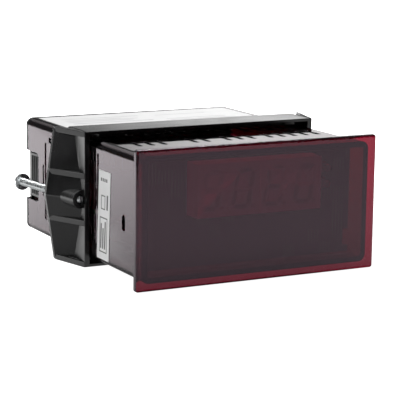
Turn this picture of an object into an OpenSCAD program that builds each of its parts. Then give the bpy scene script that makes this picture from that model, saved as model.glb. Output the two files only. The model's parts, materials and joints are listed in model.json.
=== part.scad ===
// Digital panel meter: a clear dark case with its front window moulded in one piece, a circuit
// base that slides out of the back, and a ratchet latch with two clamp screws that holds it in a panel.
// The origin is the centre of the flange's back face, which is the panel plane.
// X runs to the right seen from the front, Y runs back behind the panel, Z is up.

/* [Flange and window] */
// Width of the front flange
flange_w = 96.5; // [94:0.5:100]
// Height of the front flange
flange_h = 49.5; // [48:0.5:53]
// Thickness of the flange in front of the panel
flange_t = 2.5; // [2.2:0.1:3.5]
// Radius on the flange's front edges and corners
flange_edge_r = 1; // [0.6:0.1:1.2]
// Thickness of the clear front wall
window_t = 2; // [1.5:0.1:2.1]

/* [Case] */
// Outer width of the case behind the flange
case_w = 91; // [90.8:0.1:91.2]
// Outer height of the case behind the flange
case_h = 44.4; // [44.2:0.1:44.8]
// Length of the case behind the panel plane
case_depth = 102.2; // [101:0.1:103]
// Thickness of the side walls
side_wall = 2.1; // [2:0.1:2.3]
// Thickness of the top and bottom walls
top_wall = 1.9; // [1.6:0.1:2.1]
// Radius on the case's long edges
case_corner_r = 2.8; // [2.2:0.1:3]

/* [Vents] */
// Width of one vent slot
vent_w = 1.8; // [1.2:0.1:2.4]
// Distance between neighbouring vent slots
vent_pitch = 5; // [4:0.1:5]
// Where the front row of slots starts
front_vent_y = 20.5; // [18:0.5:22]
// Length of the front slots
front_vent_len = 9; // [6:0.5:10]
// Where the second row of slots starts
second_vent_y = 37; // [34:0.5:38]
// Length of the second row's slots
second_vent_len = 13; // [8:0.5:14]

/* [Panel latch] */
// Distance of the latch's front edge from the panel plane
latch_y = 42; // [41:0.5:43]
// Length of the latch's collar along the case
latch_depth = 15.5; // [15.5:0.5:16.5]
// Outer height of the collar
latch_h = 50; // [49.5:0.1:51]
// Thickness of the collar's top and bottom walls
latch_wall = 1.2; // [1:0.1:1.4]
// Distance between neighbouring latching slots
ratchet_pitch = 3; // [2.8:0.1:3]
// How far a wing's tip stands from the middle plane
wing_reach = 54.2; // [53:0.1:55]

/* [Clamp screws] */
// Radius of the screw's shank
shank_r = 1.5; // [1.3:0.1:1.6]
// Length of the screw from its tip to its head
shank_len = 43.5; // [40:0.5:44]
// Radius of the screw's head
screw_head_r = 3.2; // [2.8:0.1:3.4]
// Angle by which each screw leans away from the case
splay = 7.2; // [6:0.1:8]

/* [Display] */
// Height of one lit figure
digit_h = 14.2; // [13:0.1:14.4]
// Width of one lit figure across its upright strokes
digit_w = 7.6; // [7:0.1:8]
// Width of one stroke
stroke = 1.6; // [1.2:0.1:1.8]
// Lean of the figures to the right
lean = 9; // [0:1:10]

/* [Hidden] */

$fn = 48;
eps = 0.01;
half_w = case_w / 2;
half_h = case_h / 2;
inner_half_w = half_w - side_wall;
inner_half_h = half_h - top_wall;
window_back_y = -flange_t + window_t;
running_gap = 0.15;

// Vent slots stand in four groups: [first slot's x, number of slots]
vent_groups = [[-35.7, 3], [-13.2, 2], [0.5, 3], [18, 5]];

// Ratchet: rows of blind slots in each side wall, parted by a web, in a shallow panel under the latch
panel_y = [37.4, 85.1];
panel_half_h = 14.75;
panel_depth = 0.35;
slot_w = 1.2;
slot_depth = 1.6;
slot_z = [[-15, -4.5], [-2.5, 17.9]];
tooth_z = [[-12.5, -5.2], [-1.8, 12.5]];
slots_forward = 7;
slots_back = 6;
tooth_slot_y = latch_y + latch_depth - slot_w - 0.3;

// Finger tabs of the rear cover and the openings that they work in
notch_y = 91.7;
notch_half_h = 9.5;
notch_r = 2;
hook_y = 86;
hook_len = 1.2;
hook_half_h = 6;
square_window_y = [79, 81];
square_window_z = [15.4, 17.4];
sight_window_y = 13.9;
sight_window_z = [-6.3, -0.6];
sight_window_r = 1.15;
tab_gap = 0.25;
tab_t = 1.4;
pad_proud = 0.9;
grip_y = [95, 97, 99, 101];
cover_y = case_depth + 0.2;
cover_t = 1.7;
skirt_gap = 0.25;
skirt_t = 1.4;
cover_vent_x = [-36:6:36];
cover_vent_w = 2;
cover_vent_z = [7.5, 16.5];
shelf_x = [-41.5, -35.5];
shelf_y = 88;
shelf_t = 3;

// Latch
collar_half_w = half_w + 2.4;
collar_gap = 0.3;
wing_back_x = 53;
wing_back_y = latch_y + latch_depth;
wing_apex_y = 62.8;
wing_web_y = 51.5;
wing_web_mid_y = 42.3;
wing_plate_t = 1.3;
wing_rib_z = 8.7;
wing_rib_t = 2.1;
gusset_t = 2;
boss_r = 3.3;
boss_y = 43.5;
boss_x = 48.7;
boss_len = 13.5;
shank_play = 0.05;
tip_reach = 0.5;
wing_slit = [[-47.9, 47], [-48.4, 47], [-49.8, 53.5], [-49.3, 53.5]];
runner_x = [-39:6:39];
runner_w = 4.6;
runner_gap = 0.25;

// Labels: a slightly slanted strip on the left side and a plate on top behind the latch
label_t = 0.12;
side_label_y = [26.1, 36.1];
side_label_z = [-20, 12.4];
side_label_shift = 1.7;
top_label_low = [-42, 58.5];
top_label_high = [40, 100];

// Circuit boards
board_t = 1.6;
board_top = -13.6;
board_half_w = 42;
board_y = [10.2, 97];
rail_w = 2.4;
rail_t = 1.5;
rail_y = [14, 82];
board_screw_at = [-38.5, 92.5];
board_screw_r = 1.2;
display_y = 8;
display_half_w = 42.8;
display_half_h = 19.7;

// Digit modules: two modules of two figures, side by side
module_w = 25;
module_h = 19;
module_y = 0.2;
module_x = 1;
module_z = 8.4;
digit_pitch = 12.5;
segment_t = 0.8;
module_wall = 1;
left_module_x = module_x - module_w / 2 - 0.05;
right_module_x = module_x + module_w / 2 + 0.05;
led_x = 30.8;
led_z = [6.8, 12.7];
led_r = 1.5;
connector_half_w = 25;
connector_pins = 18;
pin_pitch = 2.54;

// Parts on the main board: [x, y] of each part's middle
transformer_at = [-16, 55.5];
main_capacitor_at = [15, 52];
regulator_at = [31, 60];
chip_at = [-11, 24.5];
chip_len = 52;
scale_trimmer_at = [25, 17];
offset_trimmer_at = [33, 17];
range_switch_at = [30, 32];
voltage_switch_at = [-37.2, 80.6];
rectifier_at = [30, 45.5];
absorber_at = [37.5, 78];
small_capacitors_at = [[14, 38], [22, 42], [38, 44], [14, 66]];
resistor_x = [-30, -18, -6];
resistor_y = [15, 35.2];

// Transformer: a three-legged core with two coils on its middle leg
core_w = 42;
core_len = 35;
core_z = [7, 23];
leg_w = 14;
core_window = [7, 21];
tube_wall = 0.9;
tube_w = leg_w + 0.2;
tube_h = core_z[1] - core_z[0] + 0.2;
tube_z = (core_z[0] + core_z[1]) / 2;

// Converter chip in its socket
chip_pins = 20;
chip_row = 7.62;

// Trimmers: where the slotted screw stands in the body
trimmer_screw_y = 3.2;
trimmer_screw_z = 8.65;

// Range switch: small levers side by side
levers = 4;
lever_pitch = 2.54;
lever_w = 1;
lever_len = 1.2;

// Terminals
pole_pitch = 5.08;
plug_y = [86.5, 103.8];
plug_z = [board_top + 0.2, 2.6];
signal_poles = 8;
signal_x = 11;
power_poles = 3;
power_x = -24.5;
block_margin = 0.75;
header_y = [76, 85.8];
header_h = 11;
nose_y = 80.5;
nose_z = [1.4, 9.6];
pin_z = 5;
clamp_screw_y = 91;
clamp_screw_z = 11.5;

// ---- shared shapes ----

// Carries a flat outline along Y; the outline's second direction becomes Z
module along_y(from, to) {
    translate([0, to, 0]) rotate([90, 0, 0]) linear_extrude(to - from) children();
}

module rounded_rect(w, h, r) {
    square([w - 2 * r, h], center = true);
    square([w, h - 2 * r], center = true);
    for (x = [-1, 1], y = [-1, 1])
        translate([x * (w / 2 - r), y * (h / 2 - r)]) circle(r);
}

module block(low, high) {
    translate(low) cube(high - low);
}

module both_sides() {
    children();
    mirror([1, 0, 0]) children();
}

module above_and_below() {
    children();
    mirror([0, 0, 1]) children();
}

// Upright slot with round ends cut along Y through everything between two heights
module long_slot(x, y, w, len, z_low, z_high) {
    translate([x - w / 2, y + w / 2, z_low]) cube([w, len - w, z_high - z_low]);
    for (end = [y + w / 2, y + len - w / 2])
        translate([x, end, z_low]) cylinder(h = z_high - z_low, d = w);
}

// ---- case ----

module flange() {
    r = flange_edge_r;
    straight_w = flange_w - 2 * r;
    straight_h = flange_h - 2 * r;
    ridge_y = -flange_t + r;
    along_y(ridge_y, 0) rounded_rect(flange_w, flange_h, r);
    along_y(-flange_t, 0) square([straight_w, straight_h], center = true);
    for (s = [-1, 1]) {
        translate([s * straight_w / 2, ridge_y, -straight_h / 2]) cylinder(h = straight_h, r = r);
        translate([-straight_w / 2, ridge_y, s * straight_h / 2]) rotate([0, 90, 0])
            cylinder(h = straight_w, r = r);
        for (t = [-1, 1]) translate([s * straight_w / 2, ridge_y, t * straight_h / 2]) sphere(r);
    }
}

module vents() {
    for (group = vent_groups, i = [0:group[1] - 1]) {
        x = group[0] + i * vent_pitch;
        long_slot(x, front_vent_y, vent_w, front_vent_len, -half_h - 1, half_h + 1);
        long_slot(x, second_vent_y, vent_w, second_vent_len, -half_h - 1, half_h + 1);
    }
}

// Shallow panel and latching slots in the left side wall
module ratchet_cut() {
    out_x = -half_w - 1;
    block([out_x, panel_y[0], -panel_half_h], [-half_w + panel_depth, panel_y[1], panel_half_h]);
    for (k = [-slots_forward:slots_back], z = slot_z) {
        y = tooth_slot_y + k * ratchet_pitch;
        block([out_x, y, z[0]], [-half_w + slot_depth, y + slot_w, z[1]]);
    }
}

// Openings of the left side wall: finger notch, hook slot and two small windows
module side_openings() {
    out_x = -half_w - 1;
    in_x = -inner_half_w + 1;
    block([out_x, notch_y + notch_r, -notch_half_h], [in_x, case_depth + 1, notch_half_h]);
    block([out_x, notch_y, -notch_half_h + notch_r], [in_x, case_depth + 1, notch_half_h - notch_r]);
    for (s = [-1, 1])
        translate([out_x, notch_y + notch_r, s * (notch_half_h - notch_r)])
            rotate([0, 90, 0]) cylinder(h = in_x - out_x, r = notch_r);
    block([out_x, hook_y, -hook_half_h], [in_x, hook_y + hook_len, hook_half_h]);
    block([out_x, square_window_y[0], square_window_z[0]], [in_x, square_window_y[1], square_window_z[1]]);
    translate([0, sight_window_y, 0]) sight_window(out_x, in_x);
}

// Small window with round ends, standing upright in the left wall
module sight_window(out_x, in_x) {
    r = sight_window_r;
    low = sight_window_z[0] + r;
    high = sight_window_z[1] - r;
    block([out_x, -r, low], [in_x, r, high]);
    for (z = [low, high]) translate([out_x, 0, z]) rotate([0, 90, 0]) cylinder(h = in_x - out_x, r = r);
}

// Pair of rails on the left wall that the main board's edge slides between
module board_rails() {
    top_z = board_top + running_gap;
    low_z = board_top - board_t - running_gap;
    for (z = [top_z, low_z - rail_t])
        block([-inner_half_w - 0.5, rail_y[0], z], [-inner_half_w + rail_w, rail_y[1], z + rail_t]);
}

module case() {
    color("darkred") {
        difference() {
            union() {
                flange();
                along_y(-1, case_depth) rounded_rect(case_w, case_h, case_corner_r);
            }
            along_y(window_back_y, case_depth + 1)
                rounded_rect(2 * inner_half_w, 2 * inner_half_h, 1);
            vents();
            both_sides() {
                ratchet_cut();
                side_openings();
            }
        }
        both_sides() board_rails();
    }
}

// ---- rear cover ----

module finger_tab() {
    arm_out = -inner_half_w + tab_gap;
    arm_in = arm_out + tab_t;
    pad_out = arm_out - pad_proud;
    // Spring arm inside the wall
    block([arm_out, hook_y - 2.5, -7.6], [arm_in, cover_y + 0.5, 7.6]);
    // Hook that stands in the case's slot
    translate([0, 0, -hook_half_h + 0.4]) linear_extrude(2 * hook_half_h - 0.8)
        polygon([
            [arm_out + 0.3, hook_y + 0.15], [arm_out - 1.1, hook_y + 0.45],
            [arm_out - 1.1, hook_y + hook_len - 0.15], [arm_out + 0.3, hook_y + hook_len - 0.15]
        ]);
    // Finger pad with its grip ridges
    block([pad_out, notch_y + 1, -8.6], [arm_out + 0.2, cover_y + cover_t, 8.6]);
    for (y = grip_y) translate([pad_out, y, -7.5]) cylinder(h = 15, r = 0.45);
}

module rear_cover() {
    skirt_w = 2 * (inner_half_w - skirt_gap);
    skirt_h = 2 * (inner_half_h - skirt_gap);
    plate_back = cover_y + cover_t;
    shelf_top = board_top - board_t;
    color("black") difference() {
        union() {
            along_y(cover_y, plate_back) rounded_rect(case_w, case_h, case_corner_r);
            along_y(board_y[1] + 0.3, cover_y + 0.5) difference() {
                rounded_rect(skirt_w, skirt_h, 0.8);
                square([skirt_w - 2 * skirt_t, skirt_h - 2 * skirt_t], center = true);
            }
            // Shelves under the board's back corners
            both_sides()
                block([shelf_x[0], shelf_y, shelf_top - shelf_t], [shelf_x[1], cover_y + 0.5, shelf_top]);
        }
        // Side recesses behind the case's notches
        both_sides()
            block([-half_w - 1, cover_y - 1, -notch_half_h],
                [-inner_half_w - 0.6, plate_back + 1, notch_half_h]);
        // Openings for the two terminal plugs
        plug_window(signal_x, signal_poles);
        plug_window(power_x, power_poles);
        // Vents above the terminals
        for (x = cover_vent_x)
            block([x - cover_vent_w / 2, cover_y - 1, cover_vent_z[0]],
                [x + cover_vent_w / 2, plate_back + 1, cover_vent_z[1]]);
        // Screw holes in the shelves
        both_sides() translate([board_screw_at[0], board_screw_at[1], shelf_top - shelf_t - 1])
            cylinder(h = 5, r = board_screw_r);
    }
    color("black") both_sides() finger_tab();
}

module plug_window(x, poles) {
    play = 0.3;
    half = poles * pole_pitch / 2 + block_margin + play;
    block([x - half, cover_y - 1, plug_z[0] - play], [x + half, cover_y + cover_t + 1, plug_z[1] + play]);
}

// ---- panel latch ----

// Section of a wing's slanted plate, seen from above
module wing_section(y_in, x_out, y_out) {
    polygon([
        [-collar_half_w + 0.4, y_in], [-collar_half_w + 0.4, y_in + wing_plate_t],
        [-x_out, y_out], [-x_out + 0.2, y_out - wing_plate_t]
    ]);
}

module left_wing() {
    half = latch_h / 2;
    above_and_below() {
        // Gusset that closes the wing's top
        translate([0, 0, half - gusset_t]) linear_extrude(gusset_t)
            polygon([
                [-collar_half_w + 0.5, latch_y], [-collar_half_w, latch_y], [-wing_back_x, wing_back_y],
                [-wing_back_x + 0.6, wing_back_y + 1], [-collar_half_w + 0.5, wing_web_y + wing_plate_t]
            ]);
        // Slanted plate from the top edge to the wing's tip
        hull() {
            translate([0, 0, half - 0.1]) linear_extrude(0.1)
                wing_section(wing_web_y, wing_back_x, wing_back_y + 0.4);
            linear_extrude(0.1)
                wing_section(wing_web_mid_y, wing_reach, wing_apex_y);
        }
        // Rib
        translate([0, 0, wing_rib_z - wing_rib_t / 2]) linear_extrude(wing_rib_t)
            polygon([
                [-collar_half_w + 0.5, latch_y], [-collar_half_w, latch_y],
                [-wing_reach + 0.6, wing_apex_y - 2.2], [-collar_half_w + 0.5, wing_web_mid_y + 4]
            ]);
    }
    // Boss for the clamp screw
    translate([-boss_x, boss_y, 0]) rotate([0, 0, splay]) rotate([-90, 0, 0])
        cylinder(h = boss_len, r = boss_r);
}

// Teeth inside the left side wall, one above and one below the web, with a lead on their front
module latch_teeth() {
    root_x = -half_w - collar_gap - 0.2;
    tip_x = -half_w + slot_depth - 0.3;
    y = tooth_slot_y + 0.1;
    back_y = tooth_slot_y + slot_w - 0.1;
    for (z = tooth_z) translate([0, 0, z[0]]) linear_extrude(z[1] - z[0])
        polygon([
            [root_x, y - 1.6], [-half_w - 0.1, y - 1.2], [-half_w - 0.1, y], [tip_x - 0.3, y],
            [tip_x, y + 0.5], [tip_x, back_y], [root_x, back_y]
        ]);
}

module panel_latch() {
    back_y = latch_y + latch_depth;
    in_w = case_w + 2 * collar_gap;
    in_h = latch_h - 2 * latch_wall;
    color("black") {
        difference() {
            union() {
                along_y(latch_y, back_y) rounded_rect(2 * collar_half_w, latch_h, 0.8);
                both_sides() left_wing();
            }
            along_y(latch_y - 1, wing_apex_y + 1) square([in_w, in_h], center = true);
            both_sides() {
                translate([-boss_x, boss_y, 0]) rotate([0, 0, splay]) translate([0, -5, 0])
                    rotate([-90, 0, 0]) cylinder(h = boss_len + 20, r = shank_r + shank_play);
                above_and_below() translate([0, 0, latch_h / 2 - gusset_t - 0.5])
                    linear_extrude(gusset_t + 1) polygon(wing_slit);
            }
        }
        both_sides() latch_teeth();
        // Flat runners that ride over the case's top and bottom, with a groove between each two
        above_and_below() for (x = runner_x)
            block([x - runner_w / 2, latch_y + 2, half_h + runner_gap],
                [x + runner_w / 2, back_y - 0.5, latch_h / 2 - latch_wall + 0.2]);
    }
}

// ---- clamp screws ----

module latch_screw() {
    head_h = 2.3;
    dome_r = 4.6;
    color("silver") difference() {
        union() {
            translate([0, 0.8, 0]) rotate([-90, 0, 0]) cylinder(h = shank_len - 0.8, r = shank_r);
            rotate([-90, 0, 0]) cylinder(h = 0.8, r1 = shank_r - 0.6, r2 = shank_r);
            translate([0, shank_len, 0]) rotate([-90, 0, 0]) intersection() {
                cylinder(h = head_h, r = screw_head_r);
                translate([0, 0, head_h - dome_r]) sphere(dome_r);
            }
        }
        // Cross recess
        for (turn = [0, 90])
            translate([0, shank_len + head_h, 0]) rotate([0, turn, 0])
                block([-0.45, -1.6, -1.7], [0.45, 1, 1.7]);
    }
}

module latch_screw_left() {
    translate([-boss_x, boss_y, 0]) rotate([0, 0, splay]) translate([0, -tip_reach, 0]) latch_screw();
}

module latch_screw_right() {
    mirror([1, 0, 0]) latch_screw_left();
}

// ---- labels ----

module side_label() {
    front = side_label_y[0];
    back = side_label_y[1];
    low = side_label_z[0];
    high = side_label_z[1];
    shift = side_label_shift;
    color("white") translate([-half_w - label_t, 0, 0]) rotate([90, 0, 90]) linear_extrude(label_t)
        polygon([[front, low], [back, low], [back - shift, high], [front - shift, high]]);
}

module top_label() {
    color("silver") translate([0, 0, half_h]) linear_extrude(label_t)
        translate(top_label_low) square(top_label_high - top_label_low);
}

// ---- display ----

module display_board() {
    top_z = board_top + running_gap + rail_t + 0.6;
    low_z = board_top - board_t - running_gap - rail_t - 0.6;
    color("darkgreen") difference() {
        along_y(display_y, display_y + board_t)
            square([2 * display_half_w, 2 * display_half_h], center = true);
        both_sides() block([-display_half_w - 1, 0, low_z], [-inner_half_w + rail_w + 0.4, 20, top_z]);
    }
}

function leaned(p) = [p[0] + p[1] * tan(lean), p[1]];

function flat_stroke(x, z, len) = [
    for (p = [[-len / 2, 0], [-len / 2 + stroke / 2, stroke / 2], [len / 2 - stroke / 2, stroke / 2],
            [len / 2, 0], [len / 2 - stroke / 2, -stroke / 2], [-len / 2 + stroke / 2, -stroke / 2]])
        leaned([x + p[0], z + p[1]])
];

function upright_stroke(x, z, len) = [
    for (p = [[0, -len / 2], [stroke / 2, -len / 2 + stroke / 2], [stroke / 2, len / 2 - stroke / 2],
            [0, len / 2], [-stroke / 2, len / 2 - stroke / 2], [-stroke / 2, -len / 2 + stroke / 2]])
        leaned([x + p[0], z + p[1]])
];

// The seven strokes and the point of one figure, as a flat outline about the figure's middle
module figure_outline() {
    side = (digit_w - stroke) / 2;
    rise = (digit_h - stroke) / 2;
    gap = 0.3;
    for (z = [-rise, 0, rise]) polygon(flat_stroke(0, z, 2 * side - gap));
    for (x = [-side, side], z = [-rise / 2, rise / 2]) polygon(upright_stroke(x, z, rise - gap));
    translate(leaned([side + 1.9, -rise])) circle(r = 0.75);
}

module figures(middle_x) {
    for (s = [-0.5, 0.5]) translate([middle_x + s * digit_pitch - 0.6, module_z]) figure_outline();
}

module digit_module(middle_x) {
    color("gray") difference() {
        along_y(module_y, display_y) translate([middle_x, module_z]) rounded_rect(module_w, module_h, 0.3);
        along_y(module_y - eps, module_y + segment_t) figures(middle_x);
        // Open back, where the light dice sit on the board
        along_y(display_y - 2, display_y + 1) translate([middle_x, module_z])
            square([module_w - 2 * module_wall, module_h - 2 * module_wall], center = true);
    }
}

module digit_segments(middle_x) {
    color("mistyrose") along_y(module_y, module_y + segment_t) figures(middle_x);
}

module digit_module_left() digit_module(left_module_x);
module digit_module_right() digit_module(right_module_x);
module digit_segments_left() digit_segments(left_module_x);
module digit_segments_right() digit_segments(right_module_x);

module annunciator_leds() {
    color("red") for (z = led_z) translate([led_x, display_y, z]) rotate([90, 0, 0]) {
        cylinder(h = 1, r = led_r + 0.4);
        cylinder(h = 4, r = led_r);
        translate([0, 0, 4]) sphere(led_r);
    }
}

module board_connector() {
    body_y = display_y + board_t;
    color("black")
        block([-connector_half_w, body_y, board_top], [connector_half_w, body_y + 2.5, board_top + 2.5]);
    color("gold") for (i = [0:connector_pins - 1]) {
        x = (i - (connector_pins - 1) / 2) * pin_pitch;
        block([x - 0.3, body_y + 2.5, board_top], [x + 0.3, body_y + 3.6, board_top + 1.5]);
    }
}

// ---- main board and what stands on it ----

module on_board(at) {
    translate([at[0], at[1], board_top]) children();
}

module main_board() {
    color("darkgreen") difference() {
        block([-board_half_w, board_y[0], board_top - board_t], [board_half_w, board_y[1], board_top]);
        both_sides() {
            on_board(board_screw_at) translate([0, 0, -3]) cylinder(h = 5, r = board_screw_r + 0.1);
            // Corner cleared for the finger tab's arm
            on_board([-board_half_w - 0.5, board_y[1]]) cylinder(h = 8, r = 3, center = true);
        }
    }
}

module board_screws() {
    color("silver") both_sides() on_board(board_screw_at) difference() {
        union() {
            translate([0, 0, -4.2]) cylinder(h = 4.3, r = board_screw_r);
            cylinder(h = 1.5, r = 2.2);
        }
        block([-2.5, -0.3, 0.8], [2.5, 0.3, 2]);
    }
}

module transformer_core() {
    color("dimgray") on_board(transformer_at) difference() {
        translate([-core_w / 2, -core_len / 2, core_z[0]]) cube([core_w, core_len, core_z[1] - core_z[0]]);
        for (s = [-1, 1])
            translate([s * (leg_w + core_window[0]) / 2, 0, core_z[0] - 1])
                translate([-core_window[0] / 2, -core_window[1] / 2, 0])
                    cube([core_window[0], core_window[1], core_z[1] - core_z[0] + 2]);
        for (x = [-1, 1], y = [-1, 1])
            translate([x * (core_w / 2 - 3.5), y * (core_len / 2 - 3.5), 0]) cylinder(h = 40, r = 1.6);
    }
}

// Flat ring round the core's middle leg
module ring_on_leg(y, t, w, h, hole_w, hole_h) {
    translate([0, y + t, tube_z]) rotate([90, 0, 0]) linear_extrude(t) difference() {
        rounded_rect(w, h, 1);
        square([hole_w, hole_h], center = true);
    }
}

module transformer_bobbin() {
    flange_side = leg_w + 2 * core_window[0] - 0.6;
    color("ivory") on_board(transformer_at) {
        ring_on_leg(-10.4, 20.8, tube_w + 2 * tube_wall, tube_h + 2 * tube_wall, tube_w, tube_h);
        for (y = [-10.4, -0.5, 9.4]) ring_on_leg(y, 1, flange_side, 28, tube_w, tube_h);
        // Pin rails that stand on the board
        for (s = [-1, 1]) translate([-flange_side / 2, s * 12.9 - 2.5, 0]) cube([flange_side, 5, 5.6]);
        for (s = [-1, 1]) translate([-flange_side / 2, s * 10.2 - 0.8, 1]) cube([flange_side, 1.6, 4.2]);
    }
}

module transformer_winding() {
    tube_out_w = tube_w + 2 * tube_wall;
    tube_out_h = tube_h + 2 * tube_wall;
    color("peru") on_board(transformer_at) for (y = [-9.4, 0.5])
        ring_on_leg(y, 8.9, tube_out_w + 9, tube_out_h + 7, tube_out_w, tube_out_h);
}

// Can with a rolled-in neck near its foot and a slightly domed top edge
module can_capacitor(r, h) {
    rotate_extrude() polygon([
        [0, 0], [r - 0.6, 0], [r, 0.6], [r, 2], [r - 0.5, 2.6], [r, 3.2],
        [r, h - 0.7], [r - 0.7, h], [r - 1.2, h], [r - 1.5, h - 0.3], [0, h - 0.3]
    ]);
}

module main_capacitor() {
    color("navy") on_board(main_capacitor_at) can_capacitor(6.25, 25);
}

module small_capacitors() {
    color("navy") for (at = small_capacitors_at) on_board(at) can_capacitor(3, 11);
}

module bridge_rectifier() {
    color("black") on_board(rectifier_at) difference() {
        cylinder(h = 5.5, r = 4.5);
        translate([3.6, -5, -1]) cube([3, 10, 8]);
    }
}

module voltage_regulator() {
    color("black") on_board(regulator_at) {
        block([-5, -4.5, 4.5], [5, -1.3, 13.5]);
        for (x = [-2.54, 0, 2.54]) block([x - 0.4, -3.3, 0], [x + 0.4, -2.8, 5]);
        difference() {
            block([-5, -1.4, 4.5], [5, 0, 20]);
            translate([0, 1, 16.8]) rotate([90, 0, 0]) cylinder(h = 3, r = 1.7);
        }
    }
}

module heat_sink() {
    color("lightgray") on_board(regulator_at) difference() {
        union() {
            block([-9, 0, 0.3], [9, 1.6, 24]);
            for (x = [-9:3:6]) block([x, 1.5, 0.3], [x + 1.2, 8.5, 24]);
            block([7.8, -7, 0.3], [9, 8.5, 24]);
            block([-9, -7, 0.3], [-7.8, 8.5, 24]);
            for (s = [-1, 1]) translate([s * 8.4, 0.8, 0]) cylinder(h = 1, r = 0.5);
        }
        translate([0, 3, 16.8]) rotate([90, 0, 0]) cylinder(h = 5, r = 1.7);
    }
}

module heat_sink_screw() {
    color("silver") on_board(regulator_at) translate([0, 0, 16.8]) rotate([90, 0, 0]) difference() {
        union() {
            translate([0, 0, -1.4]) cylinder(h = 3, r = 1.45);
            translate([0, 0, 1.4]) cylinder(h = 1.6, r = 2.7);
        }
        block([-3, -0.35, 2.2], [3, 0.35, 4]);
    }
}

module chip_socket() {
    color("black") on_board(chip_at) difference() {
        block([-chip_len / 2, -8, 0], [chip_len / 2, 8, 4.2]);
        block([-chip_len / 2 + 3, -5, -1], [chip_len / 2 - 3, 5, 5]);
        for (s = [-1, 1], i = [0:chip_pins - 1]) {
            x = (i - (chip_pins - 1) / 2) * pin_pitch;
            block([x - 0.4, s * chip_row - 0.35, 1.5], [x + 0.4, s * chip_row + 0.35, 5]);
        }
    }
}

module converter_chip() {
    color("dimgray") on_board(chip_at) {
        difference() {
            block([-chip_len / 2, -6.8, 4.5], [chip_len / 2, 6.8, 8.6]);
            translate([-chip_len / 2, 0, 7.6]) cylinder(h = 2, r = 1.4);
        }
        for (s = [-1, 1], i = [0:chip_pins - 1]) {
            x = (i - (chip_pins - 1) / 2) * pin_pitch;
            shoulder_y = s * (chip_row - 0.42);
            block([x - 0.6, shoulder_y - 0.6, 6.2], [x + 0.6, shoulder_y + 0.6, 6.6]);
            block([x - 0.25, s * chip_row - 0.18, 1.6], [x + 0.25, s * chip_row + 0.18, 6.6]);
        }
    }
}

// Resistor lying on the board with its leads bent down at both ends
module resistor() {
    body_r = 1.15;
    body_len = 6.3;
    lead_r = 0.3;
    span = 10;
    translate([-body_len / 2, 0, body_r]) rotate([0, 90, 0]) cylinder(h = body_len, r = body_r);
    translate([-span / 2, 0, body_r]) rotate([0, 90, 0]) cylinder(h = span, r = lead_r);
    for (s = [-1, 1]) translate([s * span / 2, 0, 0]) cylinder(h = body_r + lead_r, r = lead_r);
}

module resistors() {
    color("tan") for (x = resistor_x, y = resistor_y) on_board([x, y]) resistor();
}

module surge_absorber() {
    color("royalblue") on_board(absorber_at) rotate(90) {
        translate([0, 1.8, 7.2]) rotate([90, 0, 0]) cylinder(h = 3.6, r = 5.2);
        for (s = [-1, 1]) translate([s * 3.75, 0, 0]) cylinder(h = 4, r = 0.4);
    }
}

module trimmer_body() {
    color("steelblue") difference() {
        union() {
            block([-2.4, -4.75, 0.4], [2.4, 4.75, 10]);
            for (y = [-3.6, 3.6]) translate([0, y, 0]) cylinder(h = 1, r = 0.6);
        }
        translate([0, trimmer_screw_y, trimmer_screw_z - 0.05]) cylinder(h = 3, r = 1.2);
    }
}

module trimmer_screw() {
    color("gold") difference() {
        translate([0, trimmer_screw_y, trimmer_screw_z]) cylinder(h = 2, r = 1.12);
        block([-2, trimmer_screw_y - 0.25, 10], [2, trimmer_screw_y + 0.25, 12]);
    }
}

module scale_trimmer() on_board(scale_trimmer_at) trimmer_body();
module scale_trimmer_screw() on_board(scale_trimmer_at) trimmer_screw();
module offset_trimmer() on_board(offset_trimmer_at) trimmer_body();
module offset_trimmer_screw() on_board(offset_trimmer_at) trimmer_screw();

module range_switch() {
    body_w = levers * lever_pitch + 1.5;
    color("firebrick") on_board(range_switch_at) difference() {
        block([-body_w / 2, -4.9, 0], [body_w / 2, 4.9, 6]);
        for (i = [0:levers - 1]) {
            x = (i - (levers - 1) / 2) * lever_pitch;
            block([x - lever_w / 2 - 0.1, -1.8, 4], [x + lever_w / 2 + 0.1, 1.8, 7]);
        }
    }
}

module range_lever(i) {
    x = (i - (levers - 1) / 2) * lever_pitch;
    color("white") on_board(range_switch_at)
        block([x - lever_w / 2, -1.6, 4.1], [x + lever_w / 2, -1.6 + lever_len, 6.8]);
}

module range_lever_1() range_lever(0);
module range_lever_2() range_lever(1);
module range_lever_3() range_lever(2);
module range_lever_4() range_lever(3);

module voltage_switch() {
    color("black") on_board(voltage_switch_at) rotate(90) difference() {
        block([-7, -3.4, 0], [7, 3.4, 7]);
        block([-4.2, -1.6, 4], [4.2, 1.6, 8]);
    }
}

module voltage_switch_lever() {
    color("red") on_board(voltage_switch_at) rotate(90) difference() {
        block([-4.1, -1.5, 4.1], [-0.1, 1.5, 8.4]);
        block([-2.4, -2, 7.6], [-1.8, 2, 9]);
    }
}

// ---- terminals ----

function pole_x(poles, i) = (i - (poles - 1) / 2) * pole_pitch;

// Fixed socket on the board with one pin a pole, open towards the back
module terminal_header(x, poles) {
    half = poles * pole_pitch / 2 + block_margin;
    color("green") translate([x, 0, board_top]) difference() {
        block([-half, header_y[0], 0], [half, header_y[1], header_h]);
        block([-half + 1, header_y[0] + 3, nose_z[0] - 0.2], [half - 1, header_y[1] + 0.7, nose_z[1] + 0.2]);
    }
    color("silver") for (i = [0:poles - 1]) translate([x + pole_x(poles, i), 0, board_top + pin_z])
        block([-0.5, header_y[0] + 1, -0.5], [0.5, header_y[1] - 1, 0.5]);
}

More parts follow.
